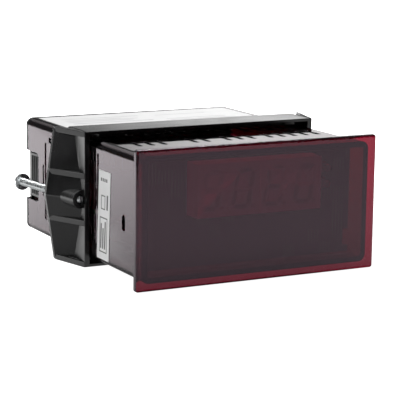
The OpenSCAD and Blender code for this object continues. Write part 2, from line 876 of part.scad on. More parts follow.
// Plug: a block with a nose that stands in the header, and a wire entry and a screw hole for each pole
module terminal_plug(x, poles) {
    half = poles * pole_pitch / 2 + block_margin;
    low = plug_z[0] - board_top;
    high = plug_z[1] - board_top;
    color("green") translate([x, 0, board_top]) difference() {
        union() {
            block([-half, plug_y[0], low], [half, plug_y[1], high]);
            block([-half + 1.2, nose_y, nose_z[0]], [half - 1.2, plug_y[0] + 1, nose_z[1]]);
        }
        for (i = [0:poles - 1]) translate([pole_x(poles, i), 0, 0]) {
            // Pin socket
            block([-0.8, nose_y - 1, pin_z - 0.8], [0.8, plug_y[0] + 1.5, pin_z + 0.8]);
            // Wire entry and the chamber of the clamp behind it
            block([-1.7, 93, 1.6], [1.7, plug_y[1] + 1, 5.6]);
            block([-1.9, 89.5, 1.4], [1.9, 97, 6.4]);
            // Screw hole
            translate([0, clamp_screw_y, clamp_screw_z]) rotate([-90, 0, 0]) cylinder(h = 20, r = 1.9);
        }
    }
}

module terminal_clamps(x, poles) {
    color("goldenrod") for (i = [0:poles - 1]) translate([x + pole_x(poles, i), 0, board_top]) difference() {
        block([-1.8, 90, 1.4], [1.8, 96.5, 6.3]);
        block([-1.3, 91, 2], [1.3, 97, 5.4]);
    }
}

module terminal_screws(x, poles) {
    color("silver") for (i = [0:poles - 1])
        translate([x + pole_x(poles, i), clamp_screw_y, board_top + clamp_screw_z])
        rotate([-90, 0, 0]) difference() {
            union() {
                cylinder(h = 9, r = 1.3);
                translate([0, 0, 8]) cylinder(h = 2.2, r = 1.85);
            }
            block([-2, -0.3, 9.4], [2, 0.3, 11]);
        }
}

module signal_header() terminal_header(signal_x, signal_poles);
module signal_plug() terminal_plug(signal_x, signal_poles);
module signal_clamps() terminal_clamps(signal_x, signal_poles);
module signal_clamp_screws() terminal_screws(signal_x, signal_poles);
module power_header() terminal_header(power_x, power_poles);
module power_plug() terminal_plug(power_x, power_poles);
module power_clamps() terminal_clamps(power_x, power_poles);
module power_clamp_screws() terminal_screws(power_x, power_poles);

case();
rear_cover();
panel_latch();
latch_screw_left();
latch_screw_right();
side_label();
top_label();
display_board();
digit_module_left();
digit_module_right();
digit_segments_left();
digit_segments_right();
annunciator_leds();
board_connector();
main_board();
board_screws();
transformer_core();
transformer_bobbin();
transformer_winding();
main_capacitor();
small_capacitors();
bridge_rectifier();
voltage_regulator();
heat_sink();
heat_sink_screw();
chip_socket();
converter_chip();
resistors();
surge_absorber();
scale_trimmer();
scale_trimmer_screw();
offset_trimmer();
offset_trimmer_screw();
range_switch();
range_lever_1();
range_lever_2();
range_lever_3();
range_lever_4();
voltage_switch();
voltage_switch_lever();
signal_header();
signal_plug();
signal_clamps();
signal_clamp_screws();
power_header();
power_plug();
power_clamps();
power_clamp_screws();
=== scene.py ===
"""Digital panel meter: materials, fine detail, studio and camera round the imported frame."""
import json
import math

import bmesh
import bpy
import numpy as np
from mathutils import Matrix, Vector

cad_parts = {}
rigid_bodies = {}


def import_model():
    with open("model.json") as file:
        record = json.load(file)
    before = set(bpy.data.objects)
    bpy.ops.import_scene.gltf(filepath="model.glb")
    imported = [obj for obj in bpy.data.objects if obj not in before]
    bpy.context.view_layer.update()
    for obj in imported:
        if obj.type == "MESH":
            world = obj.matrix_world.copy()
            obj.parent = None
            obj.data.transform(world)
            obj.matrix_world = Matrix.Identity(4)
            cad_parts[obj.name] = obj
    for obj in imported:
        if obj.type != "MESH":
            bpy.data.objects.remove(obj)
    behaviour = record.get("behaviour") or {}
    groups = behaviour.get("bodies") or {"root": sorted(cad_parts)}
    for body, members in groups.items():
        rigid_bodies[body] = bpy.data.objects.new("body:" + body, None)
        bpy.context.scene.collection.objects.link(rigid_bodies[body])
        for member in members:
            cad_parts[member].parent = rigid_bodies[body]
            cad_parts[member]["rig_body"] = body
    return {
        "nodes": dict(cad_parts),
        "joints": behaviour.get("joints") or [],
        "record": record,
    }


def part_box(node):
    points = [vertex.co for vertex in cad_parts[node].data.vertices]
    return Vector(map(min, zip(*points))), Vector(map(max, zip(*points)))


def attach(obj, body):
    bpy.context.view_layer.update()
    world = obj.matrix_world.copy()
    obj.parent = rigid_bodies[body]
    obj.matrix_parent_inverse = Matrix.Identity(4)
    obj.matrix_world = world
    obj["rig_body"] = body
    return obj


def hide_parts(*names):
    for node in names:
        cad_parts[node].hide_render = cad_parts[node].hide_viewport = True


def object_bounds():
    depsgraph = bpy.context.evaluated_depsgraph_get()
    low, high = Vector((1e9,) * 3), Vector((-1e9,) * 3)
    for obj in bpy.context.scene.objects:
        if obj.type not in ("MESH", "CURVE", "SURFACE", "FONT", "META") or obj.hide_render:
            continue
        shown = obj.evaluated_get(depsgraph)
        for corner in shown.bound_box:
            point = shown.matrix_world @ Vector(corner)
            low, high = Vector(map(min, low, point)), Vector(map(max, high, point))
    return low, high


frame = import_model()
CAD_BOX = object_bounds()

bl_info = {
    "name": "Digital panel meter",
    "version": (1, 0, 0),
    "blender": (4, 5, 0),
    "location": "View3D > Sidebar > Panel meter",
    "description": "Builds the finishes and fine detail of a panel meter round its packed frame",
    "category": "Object",
}

MM = 0.001
NODES = frame["nodes"]

# Studio: the floor's gap and reach in millimetres, and its glow over metres along Y and X and over "Facing"
FLOOR_GAP = 0.02
FLOOR_REACH = 6000
FLOOR_GLOW = {"strength": (0.8, 2.2), "y": (-0.05, 0.3), "x": (-0.45, -0.16), "facing": (0.55, 0.8, 0.1, 1)}
# The sky's strengths; fade is in degrees from straight behind towards the right
SKY = {"front": 0.05, "front_top": 0.25, "back": 1.65, "back_left": 0.06, "fade": (20.8, 30), "top": 0.6}
# Soft boxes: name, place and size in metres, and watts
LAMPS = [
    ("overhead box", (0.1, 0.25, 1.1), 0.9, 20),
    ("left box", (-1.0, 0.5, 0.5), 0.5, 4),
]


# ---- settings ----

def colour(name, description, default):
    return bpy.props.FloatVectorProperty(
        name=name, description=description, subtype="COLOR", size=3, min=0, max=1, default=default)


def length(name, description, default):
    return bpy.props.FloatProperty(name=name, description=description, default=default, unit="LENGTH")


def angle(name, description, degrees):
    return bpy.props.FloatProperty(
        name=name, description=description, default=math.radians(degrees), unit="ROTATION")


def number(name, description, default):
    return bpy.props.FloatProperty(name=name, description=description, default=default)


class CaseSettings(bpy.types.PropertyGroup):
    tint: colour("Surface tint", "Colour that each pass through the surface leaves", (0.9, 0.62, 0.72))
    depth_colour: colour("Depth colour", "Colour that thicker plastic keeps", (0.72, 0.04, 0.4))
    density: number("Depth density", "How fast the plastic darkens, for each metre", 2900)
    sheen: colour("Reflection", "Colour of reflections seen square on", (1.0, 0.74, 0.9))
    roughness: number("Roughness", "Roughness of the polished plastic", 0.03)
    ior: number("Index", "Index of refraction of the plastic", 1.52)
    edge: length("Edge width", "Width of the softened edges", 0.12 * MM)


class LatchSettings(bpy.types.PropertyGroup):
    black: colour("Latch black", "Colour of the latch and of the rear cover", (0.007, 0.007, 0.0075))
    roughness: number("Roughness", "Roughness of the moulded black plastic", 0.24)
    edge: length("Edge width", "Width of the softened edges", 0.22 * MM)


class ScrewSettings(bpy.types.PropertyGroup):
    plating: colour("Plating", "Colour of the zinc plating", (0.86, 0.89, 0.9))
    pitch: length("Thread pitch", "Distance between neighbouring thread crests", 0.5 * MM)
    depth: length("Thread depth", "Height of a thread crest above its root", 0.27 * MM)
    shank: length("Shank radius", "Radius over the thread crests", 1.49 * MM)


class LabelSettings(bpy.types.PropertyGroup):
    paper: colour("Side label", "Colour of the white side label", (0.8, 0.8, 0.8))
    film: colour("Top label", "Colour of the silver top label", (0.54, 0.54, 0.54))
    ink: colour("Ink", "Colour of the side label's marks", (0.12, 0.12, 0.12))
    pale_ink: colour("Pale ink", "Colour of the top label's marks", (0.36, 0.36, 0.37))


class DisplaySettings(bpy.types.PropertyGroup):
    # painted light: the module faces glow faintly in place of the light that falls through the window onto
    # them; they are no lamps
    glow: number("Face glow", "Faint light of the modules' faces behind the dark window", 0.14)
    face: colour("Module face", "Colour of the digit modules' faces", (0.7, 0.6, 0.62))
    segment: colour("Segment", "Colour of an unlit segment", (0.72, 0.5, 0.52))
    lens: colour("Lamp", "Colour of the two lamps' lenses", (0.35, 0.02, 0.03))


class BoardSettings(bpy.types.PropertyGroup):
    laminate: colour("Laminate", "Colour of the boards' solder mask", (0.012, 0.07, 0.03))
    trace: colour("Trace", "Colour of the mask over a copper trace", (0.03, 0.14, 0.05))
    solder: colour("Solder", "Colour of the solder joints", (0.66, 0.66, 0.68))
    grid: length("Grid", "Distance between neighbouring holes", 2.54 * MM)


class StageSettings(bpy.types.PropertyGroup):
    floor: colour("Floor", "Colour of the floor", (0.2, 0.2, 0.2))
    azimuth: angle("Azimuth", "Camera's turn round the meter, from straight in front", -27.88)
    elevation: angle("Elevation", "Camera's height above the horizon", 10.668)
    roll: angle("Roll", "Camera's roll", 0.768)
    lens: number("Lens", "Focal length in millimetres on a 36 mm sensor", 150.54)
    place: bpy.props.FloatVectorProperty(
        name="Place", description="Where the camera stands", size=3, unit="LENGTH",
        default=(-0.289477, -0.504153, 0.112885))


SETTINGS = {
    "meter_case": CaseSettings,
    "meter_latch": LatchSettings,
    "meter_screws": ScrewSettings,
    "meter_labels": LabelSettings,
    "meter_display": DisplaySettings,
    "meter_boards": BoardSettings,
    "meter_stage": StageSettings,
}


# ---- shader building ----

def put(tree, kind, inputs=None, **fields):
    """Adds a node, sets its fields, and sets or links its inputs: a value that is a socket is linked."""
    node = tree.nodes.new(kind)
    for name, value in fields.items():
        setattr(node, name, value)
    for name, value in (inputs or {}).items():
        if isinstance(value, bpy.types.NodeSocket):
            tree.links.new(value, node.inputs[name])
        else:
            node.inputs[name].default_value = value
    return node


def maths(tree, operation, *values):
    """One Math node's value; each input is a number or a socket."""
    return put(tree, "ShaderNodeMath", dict(enumerate(values)), operation=operation).outputs[0]


def ramp(tree, value, low, high, to_low=0.0, to_high=1.0):
    """Carries low..high smoothly to to_low..to_high."""
    inputs = {"Value": value, "From Min": low, "From Max": high, "To Min": to_low, "To Max": to_high}
    return put(tree, "ShaderNodeMapRange", inputs, interpolation_type="SMOOTHSTEP").outputs["Result"]


def rgba(values):
    return (*values, 1.0)


def blend_colours(tree, share, *colours):
    """A colour between two by a share from 0 to 1; each colour is three numbers or a socket."""
    first, second = (c if isinstance(c, bpy.types.NodeSocket) else rgba(c) for c in colours)
    return put(tree, "ShaderNodeMix", {0: share, 6: first, 7: second}, data_type="RGBA").outputs[2]


def object_point(tree, stretch=None):
    """Object coordinates, stretched along each axis where asked."""
    point = put(tree, "ShaderNodeTexCoord").outputs["Object"]
    if stretch is None:
        return point
    return put(tree, "ShaderNodeMapping", {"Vector": point, "Scale": stretch}).outputs["Vector"]


def object_axes(tree):
    """Object coordinates as separate X, Y and Z values."""
    return put(tree, "ShaderNodeSeparateXYZ", {"Vector": object_point(tree)}).outputs


def noise(tree, point, scale, detail=2):
    inputs = {"Vector": point, "Scale": scale, "Detail": detail}
    return put(tree, "ShaderNodeTexNoise", inputs).outputs["Fac"]


def group_shell(name, inputs, outputs):
    """An empty node group with named float inputs and outputs, and its two end nodes."""
    tree = bpy.data.node_groups.new(name, "ShaderNodeTree")
    for label, default in inputs.items():
        socket = tree.interface.new_socket(name=label, in_out="INPUT", socket_type="NodeSocketFloat")
        socket.default_value = default
    for label in outputs:
        tree.interface.new_socket(name=label, in_out="OUTPUT", socket_type="NodeSocketFloat")
    return tree, tree.nodes.new("NodeGroupInput"), tree.nodes.new("NodeGroupOutput")


def grain_group():
    """Moulded grain: fine noise as a height, and broad noise as a tone from 0 to 1."""
    tree, given, result = group_shell("Moulded grain", {"Fine": 2500, "Broad": 60}, ("Height", "Tone"))
    point = object_point(tree)
    tree.links.new(noise(tree, point, given.outputs["Fine"]), result.inputs["Height"])
    broad = noise(tree, point, given.outputs["Broad"], 3)
    tree.links.new(ramp(tree, broad, 0.3, 0.7), result.inputs["Tone"])
    return tree


def brushed_group():
    """Drawn lines: noise stretched a hundredfold along Z, as a height and a tone."""
    tree, given, result = group_shell("Drawn lines", {"Scale": 3000}, ("Height", "Tone"))
    lines = noise(tree, object_point(tree, (1, 1, 0.01)), given.outputs["Scale"], 3)
    tree.links.new(lines, result.inputs["Height"])
    tree.links.new(ramp(tree, lines, 0.35, 0.65), result.inputs["Tone"])
    return tree


def trace_group():
    """Board traces: each square of the hole grid picks straight runs along X or Y at random, as a mask.

    mask = 1 where the distance to the nearest run, |fract(p / step) - 0.5|, is under the half width.
    """
    tree, given, result = group_shell("Board traces", {"Step": 2.54 * MM, "Half width": 0.17}, ("Mask",))
    point = object_point(tree)
    axes = object_axes(tree)
    step = given.outputs["Step"]
    runs = []
    for axis in ("X", "Y"):
        part = maths(tree, "FRACT", maths(tree, "DIVIDE", axes[axis], step))
        away = maths(tree, "ABSOLUTE", maths(tree, "SUBTRACT", part, 0.5))
        runs.append(maths(tree, "LESS_THAN", away, given.outputs["Half width"]))
    cell = put(tree, "ShaderNodeVectorMath", {0: point, "Scale": 1 / (5.08 * MM)}, operation="SCALE")
    corner = put(tree, "ShaderNodeVectorMath", {0: cell.outputs[0]}, operation="FLOOR")
    pick = put(tree, "ShaderNodeTexWhiteNoise", {"Vector": corner.outputs[0]}).outputs["Value"]
    along = maths(tree, "GREATER_THAN", pick, 0.45)
    empty = maths(tree, "LESS_THAN", pick, 0.16)
    chosen = put(tree, "ShaderNodeMix", {0: along, 2: runs[0], 3: runs[1]}, data_type="FLOAT")
    mask = maths(tree, "MULTIPLY", chosen.outputs[0], maths(tree, "SUBTRACT", 1.0, empty))
    tree.links.new(mask, result.inputs["Mask"])
    return tree


GROUP_MAKERS = {"Moulded grain": grain_group, "Drawn lines": brushed_group, "Board traces": trace_group}


def group(tree, name, **values):
    """Places a shared node group, made on first use, with this material's own values."""
    shared = bpy.data.node_groups.get(name) or GROUP_MAKERS[name]()
    node = tree.nodes.new("ShaderNodeGroup")
    node.node_tree = shared
    for key, value in values.items():
        node.inputs[key.replace("_", " ")].default_value = value
    return node


def start_material(name, **constants):
    """A material with one Principled shader; constants go straight on its sockets."""
    material = bpy.data.materials.new(name)
    material.use_nodes = True
    tree = material.node_tree
    tree.nodes.clear()
    shader = tree.nodes.new("ShaderNodeBsdfPrincipled")
    output = tree.nodes.new("ShaderNodeOutputMaterial")
    tree.links.new(shader.outputs["BSDF"], output.inputs["Surface"])
    for key, value in constants.items():
        shader.inputs[key.replace("_", " ")].default_value = value
    return material, tree, shader, output


def bump(tree, shader, height, distance, strength=1.0):
    inputs = {"Height": height, "Distance": distance, "Strength": strength}
    tree.links.new(put(tree, "ShaderNodeBump", inputs).outputs["Normal"], shader.inputs["Normal"])


def paint(tree, shader, share, first, second):
    """Base colour that goes from first to second by a share."""
    tree.links.new(blend_colours(tree, share, first, second), shader.inputs["Base Color"])


def gloss(tree, shader, share, low, high):
    """Roughness that goes from low to high by a share."""
    tree.links.new(ramp(tree, share, 0, 1, low, high), shader.inputs["Roughness"])


def moulded(name, base, roughness, fine=2500, depth=0.004 * MM, shift=0.25, glow=0.0, **constants):
    """Moulded plastic: a base colour that drifts, uneven gloss, a fine grain, and, if asked, a painted glow
    in the base colour that stands in for light falling on the part.
    """
    material, tree, shader, _ = start_material(name, **constants)
    # painted light: the emission makes the part shine as if lit, though it is no lamp
    shader.inputs["Emission Color"].default_value = rgba(base)
    shader.inputs["Emission Strength"].default_value = glow
    grain = group(tree, "Moulded grain", Fine=fine, Broad=45)
    tone = grain.outputs["Tone"]
    paint(tree, shader, tone, [c * (1 - shift) for c in base], [min(1.0, c * (1 + shift)) for c in base])
    gloss(tree, shader, tone, roughness * 0.85, roughness * 1.15)
    bump(tree, shader, grain.outputs["Height"], depth)
    return material


def metal(name, base, roughness, scale=3000, depth=0.003 * MM):
    """Bare or plated metal: drawn lines in its gloss and height."""
    material, tree, shader, _ = start_material(name, Metallic=1.0)
    lines = group(tree, "Drawn lines", Scale=scale)
    tone = lines.outputs["Tone"]
    paint(tree, shader, tone, [c * 0.86 for c in base], base)
    gloss(tree, shader, tone, roughness * 0.8, roughness * 1.25)
    bump(tree, shader, lines.outputs["Height"], depth)
    return material


# ---- materials of this meter ----

def dark_red_clear(settings):
    """Clear dark red plastic: tinted at its surface and darker with depth, with a faint flow ripple."""
    material, tree, shader, output = start_material(
        "dark red clear plastic", Base_Color=rgba(settings.tint), Transmission_Weight=1.0,
        IOR=settings.ior, Roughness=settings.roughness, Specular_Tint=rgba(settings.sheen))
    inside = put(tree, "ShaderNodeVolumeAbsorption", {
        "Color": rgba(settings.depth_colour), "Density": settings.density})
    tree.links.new(inside.outputs["Volume"], output.inputs["Volume"])
    bump(tree, shader, noise(tree, object_point(tree, (1, 1, 6)), 90, 1), 0.01 * MM, 0.25)
    return material


def label_film(name, base, roughness, metallic=0.0):
    """Printed film: a smooth sheet with a slight waviness."""
    material, tree, shader, _ = start_material(name, Metallic=metallic, Roughness=roughness)
    waves = noise(tree, object_point(tree), 140)
    paint(tree, shader, ramp(tree, waves, 0.3, 0.7), [c * 0.95 for c in base], base)
    bump(tree, shader, waves, 0.02 * MM, 0.5)
    return material


def board_laminate(settings):
    """Solder mask over copper traces, glossy, with the traces standing a little proud."""
    material, tree, shader, _ = start_material("green laminate", Roughness=0.28, Coat_Weight=0.3)
    traces = group(tree, "Board traces", Step=settings.grid / 2).outputs["Mask"]
    paint(tree, shader, traces, settings.laminate, settings.trace)
    bump(tree, shader, traces, 0.03 * MM)
    return material


def laminated_iron():
    """Stacked iron sheets: fine bands along Z, lightly varnished."""
    material, tree, shader, _ = start_material(
        "laminated iron", Metallic=0.85, Coat_Weight=0.35, Coat_Roughness=0.2)
    sheet = maths(tree, "FRACT", maths(tree, "DIVIDE", object_axes(tree)["Z"], 0.5 * MM))
    band = maths(tree, "LESS_THAN", maths(tree, "ABSOLUTE", maths(tree, "SUBTRACT", sheet, 0.5)), 0.4)
    blotch = noise(tree, object_point(tree), 160, 4)
    iron = blend_colours(tree, ramp(tree, blotch, 0.35, 0.65), (0.13, 0.12, 0.115), (0.24, 0.225, 0.21))
    paint(tree, shader, band, (0.05, 0.045, 0.04), iron)
    tree.links.new(ramp(tree, blotch, 0.3, 0.7, 0.35, 0.6), shader.inputs["Roughness"])
    bump(tree, shader, band, 0.03 * MM)
    return material


def coil_tape():
    """Amber polyester tape over a coil: bands round the coil, with painted shade darker in the grooves
    between turns, and a slight sheen.
    """
    material, tree, shader, _ = start_material("amber coil tape", Roughness=0.25, Coat_Weight=0.4)
    turn = maths(tree, "FRACT", maths(tree, "DIVIDE", object_axes(tree)["Y"], 0.6 * MM))
    ridge = maths(tree, "SINE", maths(tree, "MULTIPLY", turn, math.pi))
    # painted shade: the colour darkens towards each groove between turns, following the bump
    paint(tree, shader, ridge, (0.3, 0.13, 0.02), (0.62, 0.33, 0.07))
    bump(tree, shader, ridge, 0.05 * MM)
    return material


def can_sleeve():
    """Blue-black shrink sleeve of a capacitor, wrinkled slightly along its height."""
    material, tree, shader, _ = start_material("capacitor sleeve", Coat_Weight=0.2)
    wrinkle = noise(tree, object_point(tree, (1, 1, 0.15)), 700)
    share = ramp(tree, wrinkle, 0.35, 0.65)
    paint(tree, shader, share, (0.008, 0.01, 0.03), (0.018, 0.022, 0.06))
    gloss(tree, shader, share, 0.25, 0.4)
    bump(tree, shader, wrinkle, 0.02 * MM)
    return material


def banded_body(spacing=1.25 * MM, middle_at=3.1 * MM, banded_half=2.2 * MM):
    """Film resistor body: five narrow rings across its length on a pale blue coat."""
    material, tree, shader, _ = start_material("banded resistor body", Roughness=0.3)
    mark = put(tree, "ShaderNodeAttribute", attribute_name="band").outputs["Fac"]
    part = maths(tree, "FRACT", maths(tree, "DIVIDE", mark, spacing))
    ring = maths(tree, "LESS_THAN", part, 0.38)
    away = maths(tree, "ABSOLUTE", maths(tree, "SUBTRACT", mark, middle_at))
    inside = maths(tree, "LESS_THAN", away, banded_half)
    ring_number = maths(tree, "FLOOR", maths(tree, "DIVIDE", mark, spacing))
    which = put(tree, "ShaderNodeTexWhiteNoise", {"W": ring_number}, noise_dimensions="1D").outputs["Color"]
    toned = blend_colours(tree, 0.45, which, (0.05, 0.02, 0.01))
    paint(tree, shader, maths(tree, "MULTIPLY", ring, inside), (0.16, 0.34, 0.4), toned)
    grain = group(tree, "Moulded grain", Fine=3000, Broad=200)
    bump(tree, shader, grain.outputs["Height"], 0.004 * MM)
    return material


MATERIAL_MAKERS = {
    "black plastic": lambda s: moulded("black plastic", s.meter_latch.black, s.meter_latch.roughness),
    "cover plastic": lambda s: moulded(
        "cover plastic", s.meter_latch.black, 0.36, fine=3500, depth=0.01 * MM),
    "clear": lambda s: dark_red_clear(s.meter_case),
    "zinc": lambda s: metal("zinc plate", s.meter_screws.plating, 0.34, scale=1200),
    "tin": lambda s: metal("tinned metal", (0.72, 0.72, 0.7), 0.3),
    "solder": lambda s: metal("solder", s.meter_boards.solder, 0.2, scale=500),
    "brass": lambda s: metal("brass", (0.78, 0.56, 0.2), 0.3),
    "aluminium": lambda s: metal("drawn aluminium", (0.7, 0.71, 0.72), 0.38, scale=2500, depth=0.01 * MM),
    "paper": lambda s: label_film("white label", s.meter_labels.paper, 0.45),
    "silver": lambda s: label_film("silver label", s.meter_labels.film, 0.42, metallic=0.25),
    "ink": lambda s: label_film("dark ink", s.meter_labels.ink, 0.5),
    "pale ink": lambda s: label_film("pale ink", s.meter_labels.pale_ink, 0.5),
    "laminate": lambda s: board_laminate(s.meter_boards),
    # the module faces get a painted glow for the light the window lets onto them
    "module face": lambda s: moulded(
        "module face", s.meter_display.face, 0.5, depth=0.006 * MM, shift=0.06, glow=s.meter_display.glow),
    "segment": lambda s: moulded("cast epoxy", s.meter_display.segment, 0.35, shift=0.08),
    "lens": lambda s: moulded("lamp lens", s.meter_display.lens, 0.12, shift=0.1, Coat_Weight=0.5),
    "iron": lambda s: laminated_iron(),
    "bobbin": lambda s: moulded("bobbin nylon", (0.62, 0.6, 0.52), 0.4, shift=0.06, Subsurface_Weight=0.1),
    "tape": lambda s: coil_tape(),
    "sleeve": lambda s: can_sleeve(),
    "epoxy": lambda s: moulded("black epoxy", (0.02, 0.02, 0.022), 0.42, fine=5000, depth=0.012 * MM),
    "resistor": lambda s: banded_body(),
    "coating": lambda s: moulded("blue dipped coating", (0.03, 0.12, 0.35), 0.22, fine=900, depth=0.02 * MM),
    "blue": lambda s: moulded("trimmer blue", (0.02, 0.14, 0.42), 0.35),
    "red": lambda s: moulded("switch red", (0.5, 0.02, 0.015), 0.35, shift=0.1),
    "white": lambda s: moulded("switch white", (0.75, 0.74, 0.7), 0.35, shift=0.04),
    "green": lambda s: moulded("terminal green", (0.02, 0.26, 0.09), 0.36, shift=0.12),
}
made_materials = {}


def material(name):
    """The named material, made on first use."""
    if name not in made_materials:
        made_materials[name] = MATERIAL_MAKERS[name](bpy.context.scene)
    return made_materials[name]


# ---- mesh building ----

def edit_mesh(mesh, change):
    """Opens a mesh, lets change work on it, and writes it back."""
    work = bmesh.new()
    work.from_mesh(mesh)
    change(work)
    work.to_mesh(mesh)
    work.free()


def face_outwards(work):
    """Turns all of a closed mesh's faces outwards."""
    bmesh.ops.recalc_face_normals(work, faces=work.faces)


def join_flat_faces(work):
    """Merges points that coincide, and joins the faces that lie in one plane."""
    bmesh.ops.remove_doubles(work, verts=work.verts, dist=0.002 * MM)
    bmesh.ops.dissolve_limit(
        work, angle_limit=math.radians(0.4), verts=work.verts, edges=work.edges, delimit={"NORMAL"})


def full_turn(count):
    """Evenly spaced angles once round."""
    return np.linspace(0, 2 * math.pi, count, endpoint=False)


def new_piece(name, vertices, faces, body, finish, smooth=True):
    """A piece from arrays: vertices in metres, faces as index rows; it rides on a body and takes a finish."""
    mesh = bpy.data.meshes.new(name)
    mesh.from_pydata(np.asarray(vertices).tolist(), [], [list(f) for f in faces])
    mesh.validate()
    piece = bpy.data.objects.new(name, mesh)
    bpy.context.scene.collection.objects.link(piece)
    mesh.materials.append(material(finish))
    mesh.shade_smooth() if smooth else mesh.shade_flat()
    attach(piece, body)
    return piece


def grid_faces(rows, columns):
    """Quads between neighbouring rows of a grid of points whose last column meets its first."""
    r, c = np.meshgrid(np.arange(rows - 1), np.arange(columns), indexing="ij")
    after = (c + 1) % columns
    row, next_row = r * columns, (r + 1) * columns
    return np.stack([row + c, row + after, next_row + after, next_row + c], -1).reshape(-1, 4)


def smooth_by_angle(mesh, degrees=32):
    """Smooth shading with edges sharper than the angle kept crisp."""
    mesh.shade_smooth()
    mesh.set_sharp_from_angle(angle=math.radians(degrees))


def finished_copy(node, name, finish, edge=0.0, sharp=32):
    """A merged copy of a CAD node with flat faces joined and its edges softened; it stands for the node."""
    source = NODES[node]
    mesh = source.data.copy()
    mesh.name = name
    edit_mesh(mesh, join_flat_faces)
    mesh.materials.clear()
    mesh.materials.append(material(finish))
    piece = bpy.data.objects.new(name, mesh)
    bpy.context.scene.collection.objects.link(piece)
    if edge:
        soft = piece.modifiers.new("Soft edges", "BEVEL")
        soft.width = edge
        soft.segments = 2
        soft.limit_method = "ANGLE"
        soft.angle_limit = math.radians(sharp)
        soft.use_clamp_overlap = False
        soft.harden_normals = True
    smooth_by_angle(mesh, sharp)
    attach(piece, source["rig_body"])
    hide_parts(node)
    return piece


def face_centres(piece):
    """Centres of a piece's faces as an array of x, y, z rows."""
    centres = np.empty(len(piece.data.polygons) * 3)
    piece.data.polygons.foreach_get("center", centres)
    return centres.reshape(-1, 3)


def refinish(piece, chosen, finish):
    """Gives the chosen faces, a mask over all faces, another material."""
    piece.data.materials.append(material(finish))
    slots = np.zeros(len(piece.data.polygons), dtype=np.int32)
    piece.data.polygons.foreach_get("material_index", slots)
    slots[chosen] = len(piece.data.materials) - 1
    piece.data.polygons.foreach_set("material_index", slots)


def dress(node, finish):
    """Gives a CAD node that stays as it is its material."""
    target = NODES[node]
    if not target.material_slots:
        target.data.materials.append(material(finish))
    for slot in target.material_slots:
        slot.material = material(finish)


def flat_bars(name, bars, place, facing, finish):
    """Printed bars on the housing, whose faces look along facing.

    Each bar (u0, v0, u1, v1), in millimetres, is a rectangle that place(u, v) carries into space.
    """
    spans = np.asarray(bars) * MM
    u = spans[:, [0, 2, 2, 0]].reshape(-1)
    v = spans[:, [1, 1, 3, 3]].reshape(-1)
    corners = place(u, v)
    faces = np.arange(len(u)).reshape(-1, 4)
    if np.cross(corners[1] - corners[0], corners[2] - corners[0]) @ facing < 0:
        faces = faces[:, ::-1]
    return new_piece(name, corners, faces, "housing", finish, smooth=False)


def outline(left, low, right, high, line):
    """Four bars that frame a rectangle."""
    return [(left, low, right, low + line), (left, high - line, right, high),
            (left, low, left + line, high), (right - line, low, right, high)]


def domes(name, centres, radius, height, facing, rings=4, around=12):
    """Solder joints: z = height * (1 - (r / radius)^2)^2 over each centre, pointing along facing * Z."""
    t = np.linspace(1, 0.12, rings)[:, None]
    a = full_turn(around)
    r = radius * t
    z = np.broadcast_to(height * (1 - t ** 2) ** 2, (rings, around))
    one = np.stack([r * np.cos(a), r * np.sin(a), z], -1).reshape(-1, 3)
    one = np.vstack([one, [[0, 0, height]]]) * [1, 1, facing]
    last = (rings - 1) * around
    cap = [[last + i, last + (i + 1) % around, rings * around] for i in range(around)]
    one_faces = grid_faces(rings, around).tolist() + cap + [list(range(around))[::-1]]
    if facing < 0:
        one_faces = [f[::-1] for f in one_faces]
    vertices = (np.asarray(centres)[:, None, :] + one[None]).reshape(-1, 3)
    faces = [[i + k * len(one) for i in f] for k in range(len(centres)) for f in one_faces]
    return new_piece(name, vertices, faces, "circuit_base", "solder")


def add_faces(work, points, faces):
    """Adds points, rows in metres, and the faces over them to a mesh in the making."""
    made = [work.verts.new(point) for point in points]
    for face in faces:
        work.faces.new([made[k] for k in face])


def prism(work, loops, low, high):
    """An upright prism in millimetres between two heights, over an outline and the holes in it."""
    edges = []
    for loop in loops:
        made = [work.verts.new((x * MM, y * MM, low * MM)) for x, y in loop]
        edges += [work.edges.new((made[k - 1], made[k])) for k in range(len(made))]
    filled = bmesh.ops.triangle_fill(work, use_beauty=True, use_dissolve=True, edges=edges)
    base = [part for part in filled["geom"] if isinstance(part, bmesh.types.BMFace)]
    lifted = bmesh.ops.extrude_face_region(work, geom=base, use_keep_orig=True)
    moved = [part for part in lifted["geom"] if isinstance(part, bmesh.types.BMVert)]
    bmesh.ops.translate(work, verts=moved, vec=(0, 0, (high - low) * MM))


def rectangle(half_width, front, back):
    """Corners of a rectangle that lies evenly about x = 0."""
    return [(-half_width, front), (half_width, front), (half_width, back), (-half_width, back)]


def middle(node):
    low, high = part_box(node)
    return (low + high) / 2


# ---- operators: one for each piece or group of like pieces ----

class PieceOperator(bpy.types.Operator):
    """Shared by all of the meter's operators."""
    bl_options = {"REGISTER", "UNDO"}

    def execute(self, context):
        self.build(context.scene)
        return {"FINISHED"}


class METER_OT_case(PieceOperator):
    """Finish the clear dark red case, which is one moulding with its front window"""
    bl_idname = "meter.case"
    bl_label = "Clear case"

    def build(self, scene):
        finished_copy("case", "clear_case", "clear", edge=scene.meter_case.edge)


def screw_line(name):
    """A clamp screw's tip and the direction from its tip to its head."""
    mount = next(m for m in frame["record"]["mounts"] if m["name"] == f"clamp_tip_{name}")
    joint = next(j for j in frame["joints"] if j["name"] == f"{name}_screw_drive")
    return np.array(mount["pos_m"]), -np.array(joint["axis"])


